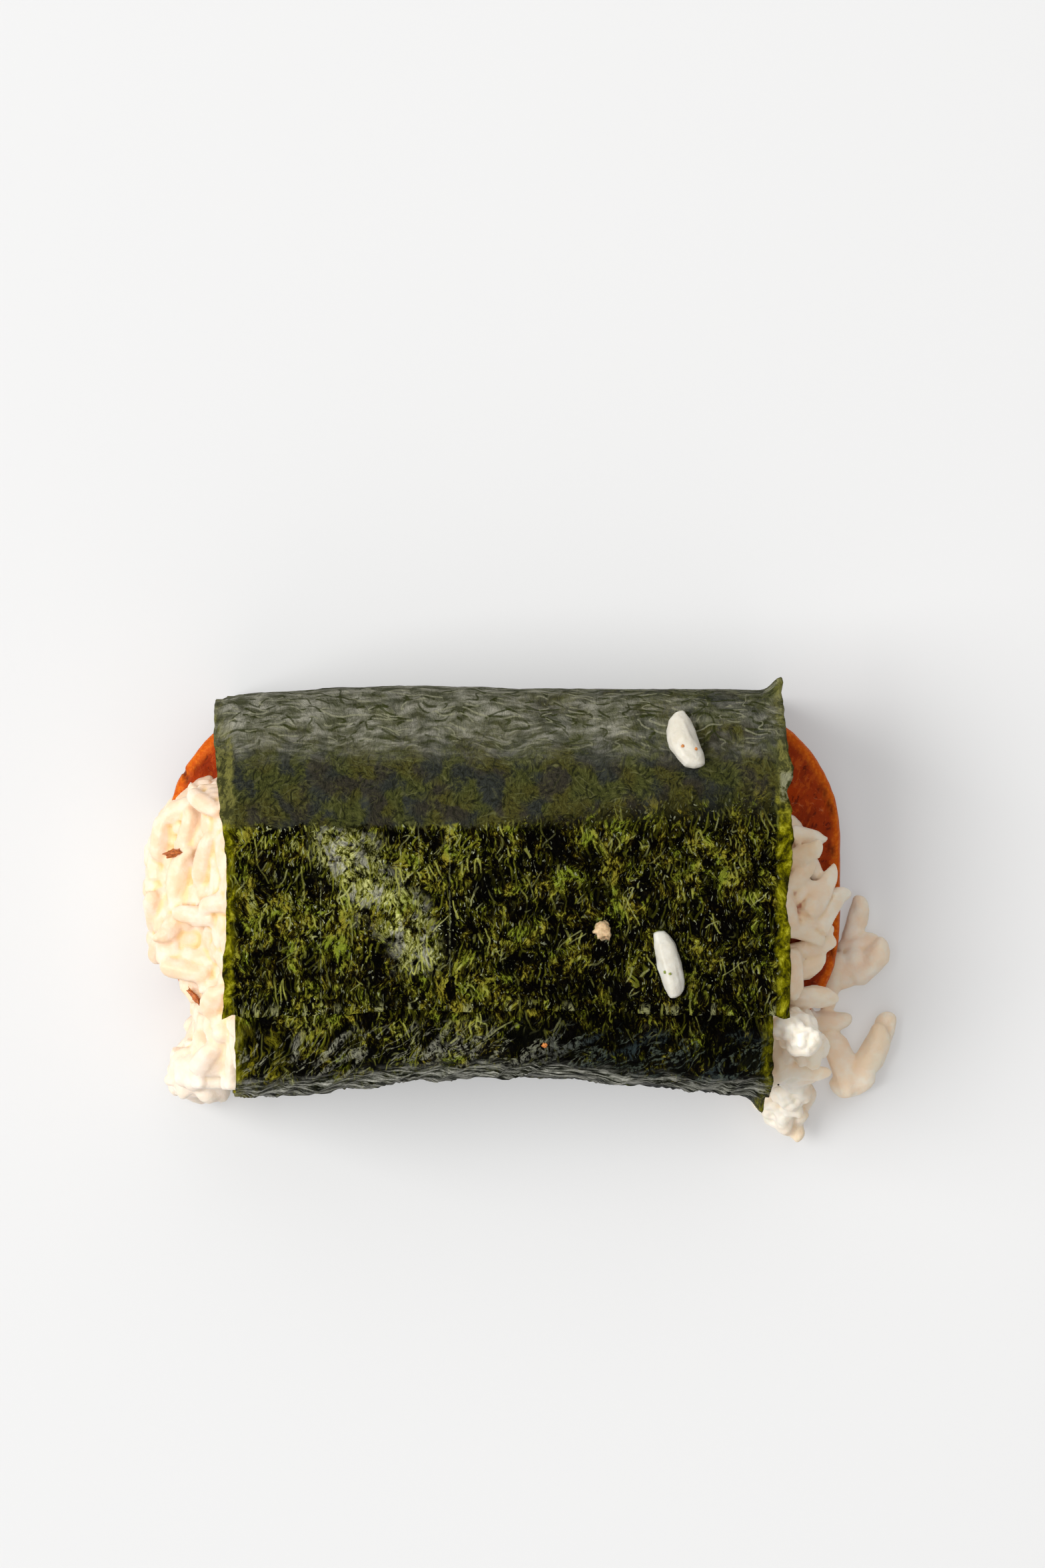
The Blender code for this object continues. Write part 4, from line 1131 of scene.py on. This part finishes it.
def clump(bm, row, tree, chance):
    """A lump of grains that have boiled to pieces and stuck together."""
    x, y, reach, height = (v * MM for v in row)
    floor = min(dropped(tree, x, y).z, ceiling(x, y))
    middle = Vector((x, y, floor + 0.25 * height))
    layer = bm.verts.layers.float["tone"]
    for _ in range(CLUMP_PIECES):
        angle, out = chance.uniform(0, 2 * math.pi), math.sqrt(chance.random())
        radius = reach * CLUMP_BIT * chance.uniform(0.75, 1.15)
        step = Vector((math.cos(angle), math.sin(angle), 0)) * out * (reach - radius)
        step.z = chance.uniform(-0.3, 0.3) * height
        centre = middle + step
        centre.z = max(centre.z, radius)
        tone = chance.random()
        made = bmesh.ops.create_icosphere(bm, subdivisions=2, radius=radius)
        for vertex in made["verts"]:
            vertex.co += centre
            vertex[layer] = tone


def within_reach(grid, pick):
    """Gives each cell of a grid the highest or lowest value near it."""
    wide = np.pad(grid, PIT_REACH, mode="edge")
    rows, columns = grid.shape
    steps = range(2 * PIT_REACH + 1)
    return pick([wide[i:i + rows, j:j + columns] for i in steps for j in steps], axis=0)


def fill_pits(bm):
    """Raises the floor of narrow pits, which would show as holes from above."""
    tree = tree_of(bm)
    xs, ys = (np.arange(low, high, PIT_GRID) for low, high in PIT_AREA)
    heights = np.zeros((len(xs), len(ys)))
    for i, x in enumerate(xs):
        for j, y in enumerate(ys):
            hit = dropped(tree, x, y)
            heights[i, j] = hit.z if hit else 0.0
    closed = within_reach(within_reach(heights, np.max), np.min)
    layer = bm.verts.layers.float["tone"]
    for i, j in zip(*np.nonzero(closed - heights > PIT_DEPTH)):
        made = bmesh.ops.create_icosphere(bm, subdivisions=2, radius=PIT_BALL)
        centre = Vector((xs[i], ys[j], max(closed[i, j] - PIT_DEPTH - PIT_BALL, PIT_BALL)))
        for vertex in made["verts"]:
            vertex.co += centre
            vertex[layer] = 0.5


def tuck_under_nori(bm):
    """Presses in whatever would stand out through the top or the far wall of the wrap."""
    round_y, round_z = TUCK_FAR - FAR_TOP_RADIUS, TUCK_TOP - FAR_TOP_RADIUS
    for vertex in bm.verts:
        if abs(vertex.co.x) < TUCKED and -NEAR_DEPTH < vertex.co.y < FAR_DEPTH:
            over = vertex.co.z - TUCK_TOP
            if over > 0:
                vertex.co.z = TUCK_TOP + TUCKED_RELIEF * math.tanh(over / MM)
        if abs(vertex.co.x) < TUCKED and vertex.co.y > round_y:
            past_y, past_z = vertex.co.y - round_y, max(vertex.co.z - round_z, 0.0)
            share = min(FAR_TOP_RADIUS / math.hypot(past_y, past_z), 1.0)
            vertex.co.y = round_y + past_y * share
            vertex.co.z = min(vertex.co.z, round_z) + past_z * share


def relaxed(places, edges, rounds):
    """Points moved to the middle of their neighbours, over and over."""
    count = len(places)
    first, second = edges[:, 0], edges[:, 1]
    degree = np.bincount(edges.ravel(), minlength=count)[:, None]
    for _ in range(rounds):
        total = np.stack([
            np.bincount(first, places[second, axis], count)
            + np.bincount(second, places[first, axis], count)
            for axis in range(3)
        ], axis=1)
        places = 0.5 * places + 0.5 * total / degree
    return places


def fuse(bm, name, voxel, roughness):
    """Makes one sticky mass of overlapping grains, and stores their tones and how deep each point lies
    in a gap, for the painted shade there.
    """
    layer = bm.verts.layers.float["tone"]
    tones = [face.verts[0][layer] for face in bm.faces]
    tree = tree_of(bm)
    piece = piece_from(bm, name)
    remeshed(piece, voxel)

    mesh = piece.data
    places = np.empty(len(mesh.vertices) * 3)
    mesh.vertices.foreach_get("co", places)
    edges = np.empty(len(mesh.edges) * 2, dtype=np.int64)
    mesh.edges.foreach_get("vertices", edges)
    edges = edges.reshape(-1, 2)
    places = relaxed(places.reshape(-1, 3), edges, SOFTENING_ROUNDS)
    mesh.vertices.foreach_set("co", places.ravel())
    mesh.update()
    normals = np.empty(len(mesh.vertices) * 3)
    mesh.vertex_normals.foreach_get("vector", normals)
    normals = normals.reshape(-1, 3)
    calm = relaxed(places, edges, GAP_ROUNDS)
    gaps = np.clip(((calm - places) * normals).sum(axis=1) / GAP_DEPTH, 0.0, 1.0)

    rough = np.zeros(len(places))
    for x, y, reach, _ in CLUMPS:
        away = np.hypot(places[:, 0] - PLACE.x - x * MM, places[:, 1] - PLACE.y - y * MM)
        rough = np.maximum(rough, np.clip(1.4 - away / (reach * MM), 0.0, 1.0))
    crumbled = rough.copy()
    rough[places[:, 0] < 0] = 0.0
    moved, own_tones = [], []
    for place, normal, crag in zip(places, normals, rough):
        at = Vector(place) - PLACE
        own_tones.append(tones[tree.find_nearest(at)[2]])
        out = (1.0 + 2.5 * crag) * noise.noise(at / 0.0019) + 6.5 * crag * noise.noise(at / 0.0010)
        out += 0.4 * noise.noise(at / 0.0009)
        moved.append(at + Vector(normal) * out * roughness)
    places = np.array([tuple(point + PLACE) for point in moved])
    places[:, 2] = np.maximum(places[:, 2], 0.00005)
    mesh.vertices.foreach_set("co", places.ravel())
    for kind, values in (("tone", own_tones), ("gap", gaps), ("crumbled", crumbled)):
        mesh.attributes.new(kind, "FLOAT", "POINT").data.foreach_set("value", values)
    mesh.update()
    mesh.shade_smooth()
    return piece


def one_end(bm, side, cut_at):
    """The part of a mass past a cut across the block: side is -1 for the left, 1 for the right."""
    part = bm.copy()
    geometry = part.verts[:] + part.edges[:] + part.faces[:]
    cut = bmesh.ops.bisect_plane(
        part, geom=geometry, plane_co=(side * cut_at, 0, 0), plane_no=(side, 0, 0), clear_inner=True,
    )
    rim = [item for item in cut["geom_cut"] if isinstance(item, bmesh.types.BMEdge)]
    bmesh.ops.holes_fill(part, edges=rim, sides=0)
    return part


def joined(first, second):
    """A copy of one bmesh with another added to it."""
    both = first.copy()
    mesh = bpy.data.meshes.new("so_far")
    second.to_mesh(mesh)
    both.from_mesh(mesh)
    bpy.data.meshes.remove(mesh)
    return both


def rice():
    chance = random.Random(SEED)
    core = bmesh.new()
    core.verts.layers.float.new("tone")
    rice_core(core)
    for centre, radii in MOUNDS:
        mound(core, centre, radii)

    packed = core.copy()
    face_grains(packed, chance, COVERED, math.inf)
    face_grains(packed, random.Random(SEED + 1), HARDLY_SEEN, COVERED)

    loose = bmesh.new()
    for row in FLOOR_GRAINS:
        resting_grain(loose, row, None, 0.0, False, chance, whole=True)
    for row in RIGHT_GRAINS + LEFT_GRAINS:
        both = joined(packed, loose)
        resting_grain(loose, row, tree_of(both), WRAP_EDGE, True, chance)
        both.free()
    for row in CLUMPS:
        both = joined(packed, loose)
        clump(loose, row, tree_of(both), chance)
        both.free()

    tuck_under_nori(packed)
    tuck_under_nori(loose)
    everything = joined(packed, loose)
    fill_pits(everything)
    made = []
    for name, side, voxel, tones in (
        ("rice_left_end", -1, LEFT_VOXEL, LIT_LEFT_TONES),
        ("rice_right_end", 1, RIGHT_VOXEL, SHADED_RIGHT_TONES),
    ):
        end = fuse(one_end(everything, side, END_CUT), name, voxel, RICE_ROUGHNESS)
        end.data.materials.append(rice_finish(name, *tones))
        made.append(end)
    everything.free()
    packed.free()
    loose.free()

    # The block between the two ends is out of sight inside the wrap.
    middle = one_end(core, 1, -HEART_CUT)
    heart = piece_from(one_end(middle, -1, -HEART_CUT), "rice_heart")
    heart.data.materials.append(rice_finish("rice_heart", *SHADED_RIGHT_TONES))
    made.append(heart)
    for piece in made:
        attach(piece, "root")
    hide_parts("rice_block")


def grains_on_nori(strip):
    """The two loose grains that lie on the nori."""
    chance = random.Random(SEED + 1)
    tree = BVHTree.FromObject(strip, bpy.context.evaluated_depsgraph_get())
    bm = bmesh.new()
    for row in NORI_GRAINS:
        moved = (row[0] + PLACE.x / MM, row[1] + PLACE.y / MM, *row[2:])
        resting_grain(bm, moved, tree, 0.0, False, chance, whole=True)
    bmesh.ops.translate(bm, vec=-PLACE, verts=bm.verts)
    piece = fuse(bm, "rice_grains_on_nori", WHOLE_VOXEL, WHOLE_ROUGHNESS)
    piece.data.materials.append(rice_finish("rice_grains_on_nori", *LIT_ON_NORI_TONES))
    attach(piece, "root")


# Luncheon meat


def inward(x, y):
    """How far a point seen from above lies inside the slice's outline."""
    past_x = abs(x) - (SLICE_LENGTH / 2 - SLICE_CORNER)
    past_y = abs(y) - (SLICE_WIDTH / 2 - SLICE_CORNER)
    if past_x > 0 and past_y > 0:
        return SLICE_CORNER - math.hypot(past_x, past_y)
    return SLICE_CORNER - max(past_x, past_y)


def meat_slice():
    bm = bmesh.new()
    bmesh.ops.create_cube(bm, size=1.0)
    size = (SLICE_LENGTH, SLICE_WIDTH, SLICE_TOP - SLICE_BASE)
    bmesh.ops.scale(bm, vec=size, verts=bm.verts)
    uprights = [e for e in bm.edges if abs(e.verts[0].co.z - e.verts[1].co.z) > 1e-6]
    bmesh.ops.bevel(
        bm, geom=uprights, offset=SLICE_CORNER, offset_type="OFFSET",
        segments=SLICE_CORNER_STEPS, profile=0.5, affect="EDGES", material=-1,
    )
    rims = [e for e in bm.edges if abs(e.verts[0].co.z - e.verts[1].co.z) < 1e-6]
    bmesh.ops.bevel(
        bm, geom=rims, offset=SLICE_EDGE, offset_type="OFFSET",
        segments=SLICE_EDGE_STEPS, profile=0.5, affect="EDGES", material=-1,
    )
    bmesh.ops.translate(bm, vec=(0, 0, (SLICE_BASE + SLICE_TOP) / 2), verts=bm.verts)
    piece = piece_from(bm, "luncheon_meat_slice")
    remeshed(piece, SLICE_VOXEL)

    bm = bmesh.new()
    bm.from_mesh(piece.data)
    bm.normal_update()
    rim_share = bm.verts.layers.float.new("rim_share")
    pit_share = bm.verts.layers.float.new("pit_share")
    moves = []
    for vertex in bm.verts:
        at = vertex.co - PLACE
        depth = inward(at.x, at.y)
        spread = RIM_WIDTH + RIM_WAVE * noise.noise(at / 0.004)
        vertex[rim_share] = 1 - smoothstep(spread * 0.7, spread * 1.3, depth)
        leaning = Vector(((at.x + 0.4 * at.y) / 0.0019, at.y / 0.0054, 0.3 + at.z / 0.0200))
        nearest = noise.voronoi(leaning)[0][0]
        chosen = noise.noise(at / 0.006 + Vector((5, 0, 0)))
        pit = (1 - smoothstep(0.12, 0.34, nearest)) * smoothstep(-0.10, 0.10, chosen)
        vertex[pit_share] = pit
        lumps = 0.00016 * noise.noise(at / 0.0045) + 0.00009 * noise.noise(at / 0.0016)
        moves.append(vertex.normal * (lumps - PIT_SINK * pit - WORN_OFF))
    for vertex, move in zip(bm.verts, moves):
        vertex.co += move
    bm.to_mesh(piece.data)
    bm.free()
    piece.data.shade_smooth()
    piece.data.materials.clear()
    piece.data.materials.append(meat_finish())
    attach(piece, "root")
    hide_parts("luncheon_meat")


# Crumbs

CRUMB_LIFT = 0.3


def crumb(bm, size, seed):
    """A jagged bit: a small ball with its surface pushed in and out."""
    made = bmesh.ops.create_icosphere(bm, subdivisions=3, radius=1.0)
    for vertex in made["verts"]:
        out = 1 + 0.75 * noise.noise(vertex.co * 2.0 + Vector((seed, 0, 0)))
        out += 0.45 * noise.noise(vertex.co * 4.4 + Vector((seed, 3, 0)))
        vertex.co = Vector(a * b * out / 2 for a, b in zip(vertex.co, size))


def crumbs(strip):
    """Bits that stuck to the nori and to the rice, of rice and of meat."""
    graph = bpy.context.evaluated_depsgraph_get()
    under = [strip] + [bpy.data.objects[name] for name in (
        "rice_left_end", "rice_right_end", "rice_grains_on_nori",
    )]
    trees = [BVHTree.FromObject(thing, graph) for thing in under]
    beige = (0.50, 0.33, 0.17), (0.66, 0.47, 0.26)
    orange = (0.55, 0.17, 0.03), (0.70, 0.27, 0.06)
    red = (0.34, 0.075, 0.012), (0.58, 0.17, 0.03)
    black = (0.02, 0.02, 0.01), (0.06, 0.05, 0.02)
    green = (0.16, 0.22, 0.02), (0.30, 0.36, 0.05)
    for name, x, y, turn, size, tones, slot in (
        ("beige_crumb", 13.6, -6.4, 0, (2.2, 2.3, 0.9), beige, "cooked_rice"),
        ("orange_speck", 5.7, -21.9, 0, (0.7, 0.6, 0.5), orange, "luncheon_meat"),
        ("meat_shred_far", -45.5, 4.0, 12, (2.6, 0.95, 2.2), red, "luncheon_meat"),
        ("meat_shred_near", -42.7, -16.0, -52, (3.0, 0.7, 0.8), red, "luncheon_meat"),
        ("nori_speck", 38.2, -28.2, 0, (0.26, 0.26, 0.2), black, "nori"),
        ("orange_speck_on_grain", 24.3, 18.7, 0, (0.36, 0.36, 0.3), orange, "luncheon_meat"),
        ("orange_speck_beside", 26.1, 18.3, 0, (0.34, 0.38, 0.3), orange, "luncheon_meat"),
        ("green_speck_on_grain", 21.9, -11.9, 0, (0.30, 0.42, 0.3), green, "nori"),
        ("green_speck_beside", 22.6, -12.1, 0, (0.36, 0.28, 0.3), green, "nori"),
    ):
        over = Vector((x * MM, y * MM, 0.0)) + PLACE
        hits = [dropped(tree, over.x, over.y) for tree in trees]
        at = max((hit for hit in hits if hit), key=lambda hit: hit.z) - PLACE
        bm = bmesh.new()
        crumb(bm, Vector(size) * MM, x)
        bmesh.ops.rotate(bm, matrix=Matrix.Rotation(math.radians(turn), 3, "Z"), verts=bm.verts)
        lift = Vector((0, 0, size[2] * MM * CRUMB_LIFT))
        bmesh.ops.translate(bm, vec=at + lift, verts=bm.verts)
        piece = piece_from(bm, name)
        piece.data.materials.append(crumb_finish(name, *tones))
        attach(piece, "root")


# Set


def table():
    bm = bmesh.new()
    bmesh.ops.create_grid(bm, x_segments=1, y_segments=1, size=TABLE_HALF)
    made = piece_from(bm, "table", shade_smooth=False)
    made.data.materials.append(table_finish())


def area_light(name, place, width, height, power, colour):
    light = bpy.data.lights.new(name, "AREA")
    light.shape = "RECTANGLE"
    light.size, light.size_y = width, height
    light.energy = power
    light.color = colour
    lamp = bpy.data.objects.new(name, light)
    lamp.location = place
    lamp.rotation_euler = (-Vector(place)).to_track_quat("-Z", "Y").to_euler()
    bpy.context.scene.collection.objects.link(lamp)


def light_and_camera():
    scene = bpy.context.scene
    world = bpy.data.worlds.new("studio")
    world.use_nodes = True
    background = world.node_tree.nodes["Background"]
    background.inputs["Color"].default_value = (1.0, 1.0, 1.0, 1.0)
    background.inputs["Strength"].default_value = ROOM_LIGHT
    scene.world = world
    for name, light in LIGHTS.items():
        area_light(name, *light)
    scene.view_settings.view_transform = "Standard"
    camera = bpy.data.cameras.new("camera")
    camera.lens = LENS
    camera.sensor_width = SENSOR
    camera.clip_start, camera.clip_end = 0.01, 10.0
    holder = bpy.data.objects.new("camera", camera)
    holder.location = PLACE + CAMERA_PLACE
    scene.collection.objects.link(holder)
    scene.camera = holder


def main():
    strip = nori_strip()
    rice()
    grains_on_nori(strip)
    meat_slice()
    crumbs(strip)
    table()
    light_and_camera()


main()
